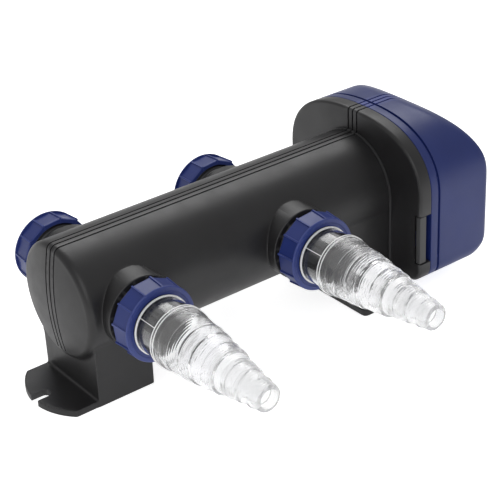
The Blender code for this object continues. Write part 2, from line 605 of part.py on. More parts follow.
def make_gland(surface):
    """The cable gland in the cover's far end, with its clamping nut and no cable."""
    place = (0, GLAND_Y, GLAND_Z)
    flange_start, flange_end = (COVER_END_X + along for along in GLAND_FLANGE)
    nut_start, shoulder, nut_end = (COVER_END_X + along for along in GLAND_NUT)
    thread_end = COVER_END_X + GLAND_THREAD_END
    body = ((flange_start, GLAND_BORE), (flange_start, GLAND_FLANGE_RADIUS),
            (flange_end, GLAND_FLANGE_RADIUS), (flange_end, GLAND_RADIUS), (thread_end, GLAND_RADIUS),
            (thread_end, GLAND_BORE))
    turned("cable_gland", body, place, (1, 0, 0), surface, 18)
    cap = thread_end + 0.5
    nut = ((nut_start, GLAND_RADIUS + GAP), (nut_start, GLAND_NUT_RADIUS), (shoulder, GLAND_NUT_RADIUS),
           (nut_end, GLAND_RADIUS), (nut_end, GLAND_BORE), (cap, GLAND_BORE), (cap, GLAND_RADIUS + GAP))
    set_origin(turned("gland_nut", nut, place, (1, 0, 0), surface, 18), place)


def main():
    for old in list(bpy.data.objects):
        bpy.data.objects.remove(old, do_unlink=True)
    black = material("chamber_black", (0.035, 0.034, 0.036), 0.5)
    blue = material("union_blue", (0.045, 0.07, 0.30), 0.4)
    navy = material("cover_blue", (0.02, 0.04, 0.20), 0.42)
    clear = material("clear_plastic", (0.95, 0.96, 0.97), 0.08, alpha=0.35)
    glass = material("quartz_glass", (0.93, 0.95, 0.96), 0.03, alpha=0.3)
    lamp_glass = material("lamp_glass", (0.85, 0.88, 0.92), 0.06, alpha=0.5)
    white = material("ceramic_white", (0.82, 0.82, 0.80), 0.45)
    grey = material("grey_plastic", (0.18, 0.18, 0.19), 0.55)
    rubber = material("seal_rubber", (0.03, 0.03, 0.03), 0.8)
    steel = material("stainless_steel", (0.6, 0.6, 0.6), 0.3, metallic=1.0)
    make_body(black)
    make_ports(blue, clear, rubber)
    make_head_base(black)
    for side, where in ((-1, "front"), (1, "rear")):
        make_latch(side, where, black, steel)
    make_head_ring(navy)
    make_head_cover(navy)
    make_sleeve_and_lamp(glass, lamp_glass, white, rubber, grey, steel)
    make_gland(black)


main()
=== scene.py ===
"""Looks of a pond UV clarifier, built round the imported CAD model.

Mesh functions work in millimetres in the CAD frame (+X along the chamber to the head, -Y the hose side,
+Z up) and turn their result into metres once, in solid().
"""
import math

import bmesh
import bpy
from mathutils import Matrix, Vector


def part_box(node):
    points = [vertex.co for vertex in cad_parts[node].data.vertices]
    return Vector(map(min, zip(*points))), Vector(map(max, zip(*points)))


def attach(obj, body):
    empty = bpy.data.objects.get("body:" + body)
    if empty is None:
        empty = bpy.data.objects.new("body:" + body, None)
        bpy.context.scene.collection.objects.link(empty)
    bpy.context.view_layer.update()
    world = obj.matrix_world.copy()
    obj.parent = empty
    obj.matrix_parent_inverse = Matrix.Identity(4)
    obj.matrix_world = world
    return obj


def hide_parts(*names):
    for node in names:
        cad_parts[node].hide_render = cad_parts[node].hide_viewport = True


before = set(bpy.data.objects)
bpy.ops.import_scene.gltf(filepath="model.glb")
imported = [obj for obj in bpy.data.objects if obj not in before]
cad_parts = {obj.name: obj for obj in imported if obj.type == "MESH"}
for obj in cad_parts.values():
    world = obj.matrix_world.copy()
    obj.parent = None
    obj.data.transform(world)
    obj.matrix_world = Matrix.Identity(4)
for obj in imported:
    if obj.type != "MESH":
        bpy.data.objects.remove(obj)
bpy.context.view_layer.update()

MM = 0.001
TO_MM = 1000.0

# Camera: where it stands and the point it looks at, in metres
CAMERA_PLACE = Vector((-0.4234, -0.7907, 0.5970))
CAMERA_AIM = Vector((0.1306, -0.0418, 0.0792))
CAMERA_ROLL = math.radians(-2.83)
CAMERA_LENS, CAMERA_SENSOR = 107.98, 36.0

# Studio: what the sky and the floor shine on the object with, and what is seen of them
SKY_GLOW = (0.45, 1.0)
FLOOR_GLOW = (0.42, 0.80)
FLOOR_GAP = 0.0002

# Directions, and the point that the chamber's axis starts from
ALONG, UP = (1, 0, 0), (0, 0, 1)
AXIS_Z = 72.5
CENTRE = (0, 0, AXIS_Z)

# Driving sizes in millimetres, as the CAD model has them

# Chamber and ports
CHAMBER_RADIUS = 43.3
CHAMBER_WALL = 3.5
CHAMBER_END_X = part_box("body_shell")[1].x * TO_MM
DOME_TIP_X = -9.6
DOME_SAG = 4.0
DOME_EDGE_RADIUS = 5.0
DOME_STEPS = 12
BORE_RADIUS = 16.8
NOZZLE_RADIUS, NOZZLE_REACH = 17.7, 87.0
PORTS = {name: TO_MM * sum(corner.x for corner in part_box(f"{name}_union_nut")) / 2
         for name in ("inlet", "outlet")}
COLLAR_RADIUS, COLLAR_START = 27.3, 30.0
FRONT_COLLAR_REACH, REAR_COLLAR_REACH = 51.5, 45.5
FLARE_SPAN, FLARE_RADIUS = (25.0, 37.0), 30.0         # the collar's flared root
SPIGOT_RADIUS, SPIGOT_REACH = 22.4, 62.0
THREAD_RADIUS, THREAD_START, THREAD_PITCH = 23.2, 50.0, 3.6

# Feet. A footprint is its near x, its far x and its half width
SPARE = 6.0                               # how far a rough shape reaches past the face that trims it
NEAR_FOOT_X = (0.0, 46.2)
NEAR_FOOT_HALF, NEAR_FOOT_TOP = 34.0, (36.0, 62.0)
FAR_FOOT_X = (217.0, CHAMBER_END_X + SPARE - 1)
FAR_FOOT_HALF, FAR_FOOT_TOP = 42.5, (42.5, 75.0)
FAR_PLATE = (216.0, 250.0, 68.0)
NEAR_HOLLOW = (4.0, 42.2, 30.0)
FAR_HOLLOW = (221.0, 250.0, 38.5)
HOLLOW_TOP_Z = 25.0
FOOT_CORNER = 4.0
TAB_THICKNESS = 4.8
TAB_HALF, TAB_SIDE_X, TAB_END_RADIUS = 33.8, -18.2, 48.0
SLOT_X, FIXING_RADIUS = -23.5, 4.5
PLATE_HOLE = (234.0, 56.0)

# Unions and tails. A step is its end, its first and its last radius; a bead its near end, far end and height
NUT_NEAR, NUT_FAR, NUT_RADIUS = 56.2, 72.7, 29.0
NUT_BORE, NUT_LIP, NUT_LIP_DEPTH = 23.7, 21.4, 3.2
NUT_FLATS = 12
NUT_FLAT_DEPTH, NUT_RIM, NUT_TAPER = 1.8, 1.0, 1.3
NUT_TURN = math.radians(6)
SEAL_PLACE, SEAL_RADII = (62.3, 64.5), (18.6, 22.8)
FLANGE_SEAT, FLANGE_DEPTH, FLANGE_RADIUS = 64.8, 4.2, 23.2
PLUG_RADIUS, PLUG_FACE, PLUG_DISH = 20.8, 71.7, 70.6
TAIL_NECK_RADIUS, TAIL_NECK_END = 20.9, 92.0
TAIL_BORE, TAIL_WALL = 18.3, 2.6
TAIL_STEPS = ((107.5, 22.5, 20.6), (129.5, 20.6, 19.0), (150.0, 18.0, 16.0), (169.5, 14.4, 12.2),
              (188.0, 11.4, 9.4))
TAIL_RIPPLE, TAIL_RIPPLE_PITCH = 0.12, 2.1
TAIL_BEADS = ((NUT_FAR + 0.4, NUT_FAR + 1.7, 1.0), (TAIL_NECK_END - 0.1, TAIL_NECK_END + 0.9, 1.8),
              (TAIL_NECK_END + 2.5, TAIL_NECK_END + 3.1, 1.85))
TAIL_MILKY_FROM = 146.0
MOULD_LINE_TURN, MOULD_LINE_RADIUS = math.radians(143), 0.34

# Head
HEAD_HALF, HEAD_SPRING_Z, HEAD_TOP_Z, HEAD_BOTTOM_Z = 76.0, 80.0, 134.0, 12.0
HEAD_POWER = 2.38
HEAD_CORNER = 12.0
BASE_X = (264.5, 275.5)
RING_X = (275.8, 283.4)
COVER_X = (283.7, 336.5)
LID_SPIGOT_X, LID_RADII = (252.0, 267.5), (33.0, 39.3)
LID_GROOVE_X, LID_GROOVE_RADIUS = (256.6, 260.2), 36.9
NECK_X, NECK_RADIUS, NECK_BORE = (268.5, 286.0), 17.6, 12.1
SEAL_SEAT_X, SEAL_SEAT_RADIUS = 278.7, 15.0
RING_OPENING = 23.5
PLATE_EDGE, RING_EDGE, JOINT_EDGE = 2.6, 0.5, 0.35        # radii of the slabs' rounded edges
CROWN_X, CROWN_Z = 299.0, 78.0
COVER_WALL, COVER_EDGE, COVER_CORNER = 2.6, 5.0, 16.0
CROWN_BLEND, CROWN_BLEND_REACH = 9.0, 14.0
JOINT_REACH, JOINT_DEPTH = 0.95, 1.6      # the dark joint line's step on either side of it
LATCH_Z = (30.0, 69.0)
LATCH_PIN = (266.6, 72.0)
LATCH_EYE_RADIUS, LATCH_PIN_RADIUS = 1.2, 0.9
LATCH_POCKET_Y, LATCH_FACE_Y = 62.5, 75.2
LATCH_WALL, LATCH_WALL_END_Y = 1.2, 69.6
LATCH_EDGE_X, LATCH_HOOK_X, LATCH_HOOK_Y = 271.3, 269.6, 68.7
COVER_POSTS = ((-62.0, 95.0), (62.0, 95.0), (-62.0, 30.0), (62.0, 30.0))
POST_RADIUS, POST_END_X, POST_HOLE_END_X = 4.5, 303.0, 297.0
BASE_HOLES = ((-33.0, 16.5), (33.0, 16.5))
SCREW_HOLE, SCREW_SEAT = 2.1, 4.0
BASE_SEAT_X, RING_SEAT_X = 272.0, 278.9
SCREW_INSET, COVER_SCREW_LENGTH, BASE_SCREW_LENGTH = 0.3, 19.0, 21.0

# Sleeve, lamp and gland
SLEEVE_TIP_X, SLEEVE_END_X = 14.0, 283.0
SLEEVE_RADIUS, SLEEVE_WALL = 11.5, 1.4
SLEEVE_NUT_X, SLEEVE_NUT_RADII = (277.0, 290.0), (18.1, 21.2)
SLEEVE_NUT_LIP_X, SLEEVE_NUT_LIP_RADIUS = 286.3, 12.4
GASKET_X, GASKET_RADII = (279.0, 282.6), (11.8, 14.7)
O_RING_PLACE, O_RING_HALF = (258.4, 38.35), (1.45, 1.1)
LAMP_TIP_X, LAMP_END_X, LAMP_RADIUS = 28.0, 262.0, 7.7
LAMP_BASE_X, LAMP_BASE_RADIUS = (262.3, 290.2), 8.7
SOCKET_X, SOCKET_RADIUS = (290.5, 306.0), 11.7
PIN_X, PIN_CIRCLE = (287.0, 295.8), 4.2
PIN_RADIUS, PIN_HOLE_RADIUS = 1.0, 1.4
HOLDER_RADIUS, HOLDER_WALL, HOLDER_HOLE = 29.0, 3.5, 12.0
HOLDER_FLOOR_X = (296.0, 299.0)
GLAND_Y, GLAND_Z = 42.0, 62.0
GLAND_BORE, GLAND_NECK = 3.2, 6.0

# Styling grooves: three thin lines along the crown of the chamber and of the head
GROOVE_PITCH = 4.8
GROOVE_HALF = 0.75
GROOVE_DEPTH = 1.0
GROOVE_END_Z = 32.0


# ---------------------------------------------------------------- mesh helpers

def solid(bm, name):
    """Turns a bmesh in millimetres into a smooth-shaded object in metres, and frees the bmesh."""
    bmesh.ops.recalc_face_normals(bm, faces=bm.faces)
    bmesh.ops.scale(bm, vec=(MM, MM, MM), verts=bm.verts)
    mesh = bpy.data.meshes.new(name)
    bm.to_mesh(mesh)
    bm.free()
    made = bpy.data.objects.new(name, mesh)
    bpy.context.scene.collection.objects.link(made)
    return made


def loft(name, rings, hollow=False):
    """Joins rings of points in turn. A hollow loft also joins its last ring to its first, with no caps."""
    bm = bmesh.new()
    rows = [[bm.verts.new(point) for point in ring] for ring in rings]
    pairs = list(zip(rows, rows[1:]))
    if hollow:
        pairs.append((rows[-1], rows[0]))
    for one, other in pairs:
        count = max(len(one), len(other))
        for i in range(count):
            j = (i + 1) % count
            corners = [one[i % len(one)], one[j % len(one)], other[j % len(other)], other[i % len(other)]]
            bm.faces.new(list(dict.fromkeys(corners)))
    if not hollow:
        for row in (rows[0], rows[-1]):
            if len(row) > 2:
                bm.faces.new(row)
    return solid(bm, name)


def circle(along, radius, origin, direction, segments):
    """A ring of points round an axis, or one point where the radius is nil."""
    tilt = Vector(direction).to_track_quat("Z", "Y").to_matrix().to_4x4()
    place = Matrix.Translation(Vector(origin)) @ tilt
    if radius < 1e-6:
        return [place @ Vector((0, 0, along))]
    turns = [math.tau * i / segments for i in range(segments)]
    return [place @ Vector((radius * math.cos(t), radius * math.sin(t), along)) for t in turns]


def rounded(points, radius, closed=True, steps=4):
    """The outline with each corner rounded, as far as its two sides have room for it."""
    result = []
    last = len(points) - 1
    for i, point in enumerate(points):
        here = Vector(point)
        if not closed and i in (0, last):
            result.append(tuple(here))
            continue
        before = Vector(points[i - 1]) - here
        after = Vector(points[(i + 1) % len(points)]) - here
        reach = min(radius, 0.45 * before.length, 0.45 * after.length)
        start = here + before.normalized() * reach
        end = here + after.normalized() * reach
        for k in range(steps + 1):
            share = k / steps
            bend = start * (1 - share) ** 2 + here * 2 * share * (1 - share) + end * share ** 2
            result.append(tuple(bend))
    return result


def turned(name, profile, origin, direction, segments=96, soften=0.0):
    """A solid of revolution from (along, radius) pairs, or a ring where none of them is on the axis."""
    hollow = min(radius for _, radius in profile) > 1e-6
    if soften:
        profile = rounded(profile, soften, closed=hollow)
    rings = [circle(along, radius, origin, direction, segments) for along, radius in profile]
    return loft(name, rings, hollow)


def on_axis(name, profile, segments, soften=0.0):
    """A solid of revolution round the chamber's axis."""
    return turned(name, profile, CENTRE, ALONG, segments, soften)


def rod_profile(span, radius):
    near, far = span
    return ((near, 0.0), (near, radius), (far, radius), (far, 0.0))


def ring_profile(span, radii):
    """Half the section of a plain ring: its two places along the axis and its two radii."""
    near, far = span
    inner, outer = radii
    return ((near, inner), (near, outer), (far, outer), (far, inner))


def rod(name, near, far, radius, origin, direction, segments=64):
    return turned(name, rod_profile((near, far), radius), origin, direction, segments)


def around(count, radius, y, z, first=0.0):
    """Places evenly round a line that runs along X."""
    turns = [first + math.tau * i / count for i in range(count)]
    return [(0, y + radius * math.cos(turn), z + radius * math.sin(turn)) for turn in turns]


def prism(name, outline, place, low, high):
    """Sweeps a closed outline straight from low to high. place(u, v, w) gives the point."""
    return loft(name, [[place(u, v, w) for u, v in outline] for w in (low, high)])


def in_yz(u, v, w):
    return (w, u, v)


def in_xz(u, v, w):
    return (u, w, v)


def in_xy(u, v, w):
    return (u, v, w)


def block(name, low, high):
    outline = ((low[0], low[1]), (high[0], low[1]), (high[0], high[1]), (low[0], high[1]))
    return prism(name, outline, in_xy, low[2], high[2])


def bake_modifiers(target):
    """Replaces the object's mesh with its evaluated one and drops its modifiers."""
    graph = bpy.context.evaluated_depsgraph_get()
    mesh = bpy.data.meshes.new_from_object(target.evaluated_get(graph))
    old = target.data
    target.modifiers.clear()
    target.data = mesh
    mesh.name = target.name
    bpy.data.meshes.remove(old)
    return target


def combine(target, operation, others):
    """Applies a Boolean with each of the others and removes them."""
    for other in others:
        modifier = target.modifiers.new(other.name, "BOOLEAN")
        modifier.operation = operation
        modifier.solver = "MANIFOLD"
        modifier.object = other
    bake_modifiers(target)
    for other in others:
        bpy.data.objects.remove(other, do_unlink=True)
    return target


def soften_joins(target, voxel, rounds):
    """Remeshes the object evenly and relaxes it, which rounds its edges and fills its inner corners."""
    remesh = target.modifiers.new("even", "REMESH")
    remesh.mode = "VOXEL"
    remesh.voxel_size = voxel * MM
    relax = target.modifiers.new("relax", "SMOOTH")
    relax.factor = 0.5
    relax.iterations = rounds
    return bake_modifiers(target)


def dress(piece, surface, body, node, sharp=32):
    """Gives a piece its material and its body, and hides the CAD node that it stands for."""
    piece.data.materials.clear()
    piece.data.materials.append(surface)
    piece.data.shade_smooth()
    piece.data.set_sharp_from_angle(angle=math.radians(sharp))
    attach(piece, body)
    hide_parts(node)


# ---------------------------------------------------------------- outlines

def arc(centre, radius, start, end, steps):
    angles = [math.radians(start + (end - start) * i / steps) for i in range(steps + 1)]
    return [(centre[0] + radius * math.cos(a), centre[1] + radius * math.sin(a)) for a in angles]


def head_outline(inset, half=HEAD_HALF, bottom=HEAD_BOTTOM_Z, steps=72):
    """The head's arch in the YZ plane: rounded bottom corners, straight sides and a superellipse top."""
    half -= inset
    bottom += inset
    rise = HEAD_TOP_Z - HEAD_SPRING_Z - inset
    corner = HEAD_CORNER - inset
    points = arc((-half + corner, bottom + corner), corner, 180, 270, 10)
    points += arc((half - corner, bottom + corner), corner, 270, 360, 10)
    for i in range(steps + 1):
        angle = math.pi * i / steps
        across = math.copysign(abs(math.cos(angle)) ** (2 / HEAD_POWER), math.cos(angle))
        points.append((half * across, HEAD_SPRING_Z + rise * math.sin(angle) ** (2 / HEAD_POWER)))
    return points


def dome_curve(inset, steps=DOME_STEPS):
    """(x, radius) points from the domed end's centre, over its rounded edge, to the start of the tube."""
    edge = DOME_EDGE_RADIUS - min(inset, DOME_EDGE_RADIUS - 1)
    tip = DOME_TIP_X + inset
    cap_radius = CHAMBER_RADIUS - inset - edge
    points = [(tip + DOME_SAG * (i / steps) ** 2, cap_radius * i / steps) for i in range(steps)]
    return points + arc((tip + DOME_SAG + edge, cap_radius), edge, 180, 90, steps)


def dome_profile(inset, far):
    return dome_curve(inset) + [(far, CHAMBER_RADIUS - inset), (far, 0.0)]


def chamber_crown(inset):
    """The chamber's outline on the mid-plane, from the head along the top and down the domed end."""
    curve = dome_curve(inset)
    points = [(CHAMBER_END_X + 5, AXIS_Z + CHAMBER_RADIUS - inset)]
    points += [(x, AXIS_Z + radius) for x, radius in curve[::-1]]
    return points + [(x, AXIS_Z - radius) for x, radius in curve[1:DOME_STEPS + 1]]


def crown_top(x, inset):
    """Height of the cover's top at x: flat, then a quarter ellipse down to the far end."""
    top = HEAD_TOP_Z - inset
    reach = COVER_X[1] - inset - CROWN_X
    share = min(1.0, max(0.0, (x - CROWN_X) / reach))
    return CROWN_Z + (top - CROWN_Z) * math.sqrt(1 - share ** 2)


def cover_crown(inset, steps=40):
    """The cover's outline on the mid-plane, from its near edge over the top and down the far end."""
    top = HEAD_TOP_Z - inset
    reach = COVER_X[1] - inset - CROWN_X
    points = [(COVER_X[0] - 3, top)]
    for i in range(steps + 1):
        angle = math.pi / 2 * i / steps
        points.append((CROWN_X + reach * math.sin(angle), CROWN_Z + (top - CROWN_Z) * math.cos(angle)))
    return points + [(COVER_X[1] - inset, GROOVE_END_Z)]


def groove_cutters(label, deep, proud):
    """Three thin strips between a line below the surface and a line above it, both in the XZ plane."""
    outline = deep + proud[::-1]
    cutters = []
    for i in (-1, 0, 1):
        middle = i * GROOVE_PITCH
        cutters.append(prism(f"{label}_{i}", outline, in_xz, middle - GROOVE_HALF, middle + GROOVE_HALF))
    return cutters


# ---------------------------------------------------------------- materials

def nodes_of(name):
    made = bpy.data.materials.new(name)
    made.use_nodes = True
    return made, made.node_tree, made.node_tree.nodes["Principled BSDF"]


def noise(tree, scale, detail=4.0, roughness=0.55):
    place = tree.nodes.new("ShaderNodeTexCoord")
    made = tree.nodes.new("ShaderNodeTexNoise")
    made.inputs["Scale"].default_value = scale
    made.inputs["Detail"].default_value = detail
    made.inputs["Roughness"].default_value = roughness
    tree.links.new(place.outputs["Object"], made.inputs["Vector"])
    return made.outputs["Fac"]


def mapped(tree, source, low, high, start=0.3, end=0.7):
    made = tree.nodes.new("ShaderNodeMapRange")
    made.inputs["From Min"].default_value = start
    made.inputs["From Max"].default_value = end
    made.inputs["To Min"].default_value = low
    made.inputs["To Max"].default_value = high
    tree.links.new(source, made.inputs["Value"])
    return made.outputs["Result"]


def tinted(tree, source, dark, light):
    made = tree.nodes.new("ShaderNodeMix")
    made.data_type = "RGBA"
    made.inputs["A"].default_value = (*dark, 1)
    made.inputs["B"].default_value = (*light, 1)
    tree.links.new(source, made.inputs["Factor"])
    return made.outputs["Result"]


def painted_edge_highlight(tree):
    """1 on convex edges, where a lighter colour paints a highlight, 0 elsewhere."""
    geometry = tree.nodes.new("ShaderNodeNewGeometry")
    return mapped(tree, geometry.outputs["Pointiness"], 0.0, 1.0, 0.52, 0.60)


def bumped(tree, shader, height, strength, distance):
    made = tree.nodes.new("ShaderNodeBump")
    made.inputs["Strength"].default_value = strength
    made.inputs["Distance"].default_value = distance
    tree.links.new(height, made.inputs["Height"])
    tree.links.new(made.outputs["Normal"], shader.inputs["Normal"])


def moulded(name, dark, light, edge_highlight_colour, roughness, grain=2600.0, grain_strength=0.12, specular=0.5):
    """Moulded plastic: faint colour drift, a fine eroded-tool grain and a painted highlight that lightens
    its convex edges.
    """
    made, tree, shader = nodes_of(name)
    drift = tinted(tree, mapped(tree, noise(tree, 22.0), 0, 1), dark, light)
    # Convex edges take the lighter edge colour: a painted highlight along them.
    highlight_mix = tree.nodes.new("ShaderNodeMix")
    highlight_mix.data_type = "RGBA"
    highlight_mix.inputs["B"].default_value = (*edge_highlight_colour, 1)
    tree.links.new(painted_edge_highlight(tree), highlight_mix.inputs["Factor"])
    tree.links.new(drift, highlight_mix.inputs["A"])
    tree.links.new(highlight_mix.outputs["Result"], shader.inputs["Base Color"])
    rough = mapped(tree, noise(tree, 60.0), roughness - 0.05, roughness + 0.05)
    tree.links.new(rough, shader.inputs["Roughness"])
    shader.inputs["Specular IOR Level"].default_value = specular
    bumped(tree, shader, noise(tree, grain, 2.0), grain_strength, 0.00012)
    return made


def clear_material(name, tint, roughness, ior, waviness, clearness=1.0):
    """Clear moulded plastic or glass, with a slow ripple from the mould or the drawing."""
    made, tree, shader = nodes_of(name)
    shader.inputs["Transmission Weight"].default_value = clearness
    shader.inputs["IOR"].default_value = ior
    colour = tinted(tree, mapped(tree, noise(tree, 30.0), 0, 1), tint, (1.0, 1.0, 1.0))
    tree.links.new(colour, shader.inputs["Base Color"])
    rough = mapped(tree, noise(tree, 90.0), 0.5 * roughness, 1.5 * roughness)
    tree.links.new(rough, shader.inputs["Roughness"])
    bumped(tree, shader, noise(tree, 70.0, 2.0), waviness, 0.0006)
    return made


def metal_material(name, dark, light):
    made, tree, shader = nodes_of(name)
    shader.inputs["Metallic"].default_value = 1.0
    colour = tinted(tree, mapped(tree, noise(tree, 300.0), 0, 1), dark, light)
    tree.links.new(colour, shader.inputs["Base Color"])
    tree.links.new(mapped(tree, noise(tree, 800.0), 0.25, 0.42), shader.inputs["Roughness"])
    return made


# Each plastic's third colour is the painted highlight that its convex edges take.
BLACK = moulded("satin_black_plastic", dark=(0.013, 0.0125, 0.0135), light=(0.018, 0.0175, 0.0185),
                edge_highlight_colour=(0.05, 0.05, 0.052), roughness=0.40)
BLUE = moulded("union_blue_plastic", dark=(0.014, 0.028, 0.165), light=(0.019, 0.037, 0.195),
               edge_highlight_colour=(0.08, 0.11, 0.36), roughness=0.36)
NAVY = moulded("cover_blue_plastic", dark=(0.009, 0.020, 0.120), light=(0.012, 0.025, 0.145),
               edge_highlight_colour=(0.05, 0.07, 0.28), roughness=0.38)
GREY = moulded("inner_grey_plastic", dark=(0.10, 0.10, 0.105), light=(0.14, 0.14, 0.145),
               edge_highlight_colour=(0.22, 0.22, 0.22), roughness=0.55)
WHITE = moulded("lamp_ceramic", dark=(0.74, 0.73, 0.70), light=(0.82, 0.81, 0.79),
                edge_highlight_colour=(0.88, 0.88, 0.86), roughness=0.5, grain=900.0)
RUBBER = moulded("seal_rubber", dark=(0.016, 0.016, 0.016), light=(0.024, 0.024, 0.024),
                 edge_highlight_colour=(0.05, 0.05, 0.05), roughness=0.75, grain=1500.0)
CLEAR = clear_material("clear_tail_plastic", (0.965, 0.975, 0.985), 0.03, 1.46, 0.12)
CLOUDY = clear_material("cloudy_tail_plastic", (0.97, 0.97, 0.985), 0.07, 1.46, 0.14, clearness=0.93)
FROSTED = clear_material("frosted_tail_edge", (1.0, 1.0, 1.0), 0.25, 1.46, 0.05, clearness=0.12)
MILKY = clear_material("milky_tail_plastic", (0.95, 0.955, 0.965), 0.12, 1.42, 0.10, clearness=0.80)
TAIL_SURFACES = (CLEAR, CLOUDY, FROSTED, MILKY)
QUARTZ = clear_material("quartz", (0.97, 0.985, 0.99), 0.01, 1.46, 0.05)
LAMP_GLASS = clear_material("lamp_glass", (0.62, 0.70, 0.78), 0.18, 1.46, 0.05, clearness=0.45)
STEEL = metal_material("stainless_steel", (0.42, 0.42, 0.43), (0.62, 0.62, 0.63))


# ---------------------------------------------------------------- chamber

def footprint(near, far, half):
    return ((near, -half), (far, -half), (far, half), (near, half))


def pedestal(name, span, foot_half, top):
    """A foot's upright part: foot_half wide at the floor, and top gives its half width and height."""
    outline = ((-foot_half, -SPARE), (foot_half, -SPARE), top, (-top[0], top[1]))
    return prism(name, outline, in_yz, *span)


def foot_tab_outline():
    """The near foot's tab: straight sides and one wide arc for its end."""
    sweep = math.degrees(math.asin(TAB_HALF / TAB_END_RADIUS))
    centre = TAB_SIDE_X + TAB_END_RADIUS * math.cos(math.radians(sweep))
    end = arc((centre, 0.0), TAB_END_RADIUS, 180 - sweep, 180 + sweep, 48)
    return [(3.0, -TAB_HALF), (3.0, TAB_HALF)] + end


def collar_root(x, facing, reach):
    """The flared root of a port collar, which is softened into the tube."""
    near, far = FLARE_SPAN
    neck = COLLAR_RADIUS - 0.8
    profile = ((near, 0.0), (near, FLARE_RADIUS), (far, neck), (reach - 3, neck), (reach - 3, 0.0))
    return turned("collar_root", profile, (x, 0, AXIS_Z), (0, facing, 0), 96)


def port_collar(name, x, facing, reach):
    """The plain collar round a port, with a small rounded edge that catches the light."""
    profile = rod_profile((COLLAR_START, reach), COLLAR_RADIUS)
    return turned(name, profile, (x, 0, AXIS_Z), (0, facing, 0), 128, soften=1.0)


def spigot(name, x, facing):
    """A threaded spigot, with a run of rounded thread crests inside the nut."""
    profile = [(20.0, 0.0), (20.0, SPIGOT_RADIUS), (47.0, SPIGOT_RADIUS)]
    for turn in range(3):
        start = THREAD_START + THREAD_PITCH * turn
        profile += [(start, SPIGOT_RADIUS), (start + 0.9, THREAD_RADIUS), (start + 1.9, THREAD_RADIUS),
                    (start + 2.8, SPIGOT_RADIUS)]
    profile += [(SPIGOT_REACH, SPIGOT_RADIUS), (SPIGOT_REACH, 0.0)]
    return turned(name, profile, (x, 0, AXIS_Z), (0, facing, 0), 96)


def nozzle(name, x):
    """The bore's inner tube, which goes on into the clear tail's neck."""
    profile = rod_profile((COLLAR_START, NOZZLE_REACH), NOZZLE_RADIUS)
    return turned(name, profile, (x, 0, AXIS_Z), (0, -1, 0), 96, soften=0.6)


def tube_end_collar():
    """A low lip round the tube's end where it meets the head: an arch with upright sides."""
    outline = [(-43.6, -SPARE), (43.6, -SPARE)] + arc((0, AXIS_Z), CHAMBER_RADIUS + 1.0, 0, 180, 96)
    return prism("tube_end_collar", outline, in_yz, CHAMBER_END_X - 2.0, CHAMBER_END_X + 3)


def soft_parts():
    """What grows out of the tube with rounded joins: the feet, their tabs and the collars' roots."""
    parts = [pedestal("near_pedestal", NEAR_FOOT_X, NEAR_FOOT_HALF, NEAR_FOOT_TOP),
             pedestal("far_pedestal", FAR_FOOT_X, FAR_FOOT_HALF, FAR_FOOT_TOP),
             prism("near_tab", foot_tab_outline(), in_xy, -SPARE, TAB_THICKNESS),
             prism("far_tab", rounded(footprint(*FAR_PLATE), FOOT_CORNER), in_xy, -SPARE, TAB_THICKNESS)]
    for x in PORTS.values():
        parts.append(collar_root(x, -1, FRONT_COLLAR_REACH))
        parts.append(collar_root(x, 1, REAR_COLLAR_REACH))
    return parts


def crisp_parts():
    parts = [tube_end_collar()]
    for port, x in PORTS.items():
        parts.append(port_collar(f"{port}_front_collar", x, -1, FRONT_COLLAR_REACH))
        parts.append(port_collar(f"{port}_rear_collar", x, 1, REAR_COLLAR_REACH))
        parts.append(spigot(f"{port}_front_spigot", x, -1))
        parts.append(spigot(f"{port}_rear_spigot", x, 1))
        parts.append(nozzle(f"{port}_nozzle", x))
    return parts


def foot_cutters():
    """The hollows under the feet, the tab's open slot and the plate's two holes."""
    slot = [(-60, FIXING_RADIUS), (-60, -FIXING_RADIUS)] + arc((SLOT_X, 0), FIXING_RADIUS, -90, 90, 24)
    cutters = [prism("near_hollow", rounded(footprint(*NEAR_HOLLOW), FOOT_CORNER), in_xy, -5, HOLLOW_TOP_Z),
               prism("far_hollow", rounded(footprint(*FAR_HOLLOW), FOOT_CORNER), in_xy, -5, HOLLOW_TOP_Z),
               prism("tab_slot", slot, in_xy, -3, 9)]
    for side in (-1, 1):
        place = (PLATE_HOLE[0], side * PLATE_HOLE[1], 0)
        cutters.append(rod("tab_hole", -3, 9, FIXING_RADIUS, place, UP, 40))
    return cutters


def chamber_cutters():
    end = CHAMBER_END_X
    cutters = [block("floor_trim", (-90, -120, -40), (400, 120, 0)),
               block("end_trim", (end, -120, -60), (end + 40, 120, 200)),
               on_axis("water_space", dome_profile(CHAMBER_WALL, end + 9), 96)]
    cutters += foot_cutters()
    for x in PORTS.values():
        cutters.append(rod("port_bore", -95, 90, BORE_RADIUS, (x, 0, AXIS_Z), (0, 1, 0), 80))
    for y, z in BASE_HOLES:
        cutters.append(rod("screw_hole", 252.5, 270, SCREW_HOLE, (0, y, z), ALONG, 24))
    return cutters + groove_cutters("crown_groove", chamber_crown(GROOVE_DEPTH), chamber_crown(-4.0))


def make_chamber():
    shell = on_axis("chamber_shell", dome_profile(0.0, CHAMBER_END_X + SPARE), 160)
    combine(shell, "UNION", soft_parts())
    soften_joins(shell, 0.9, 3)
    combine(shell, "UNION", crisp_parts())
    combine(shell, "DIFFERENCE", chamber_cutters())
    dress(shell, BLACK, "chamber", "body_shell", sharp=40)


# ---------------------------------------------------------------- unions and tails

def nut_radius(angle, along):
    """Outer radius of a union nut: flats with narrow ribs between them, up to a full round rim."""
    pitch = math.tau / NUT_FLATS
    local = (angle - NUT_TURN + pitch / 2) % pitch - pitch / 2
    flat = (NUT_RADIUS - NUT_FLAT_DEPTH) / math.cos(local)
    rib = min(1.0, max(0.0, (abs(local) / (pitch / 2) - 0.90) / 0.03))
    body = flat + (NUT_RADIUS - flat) * rib
    rim = min(1.0, max(0.0, (along - (NUT_FAR - NUT_RIM - 0.5)) / 0.5))
    taper = NUT_TAPER * (along - NUT_NEAR) / (NUT_FAR - NUT_NEAR)
    return body + (NUT_RADIUS - body) * rim - taper


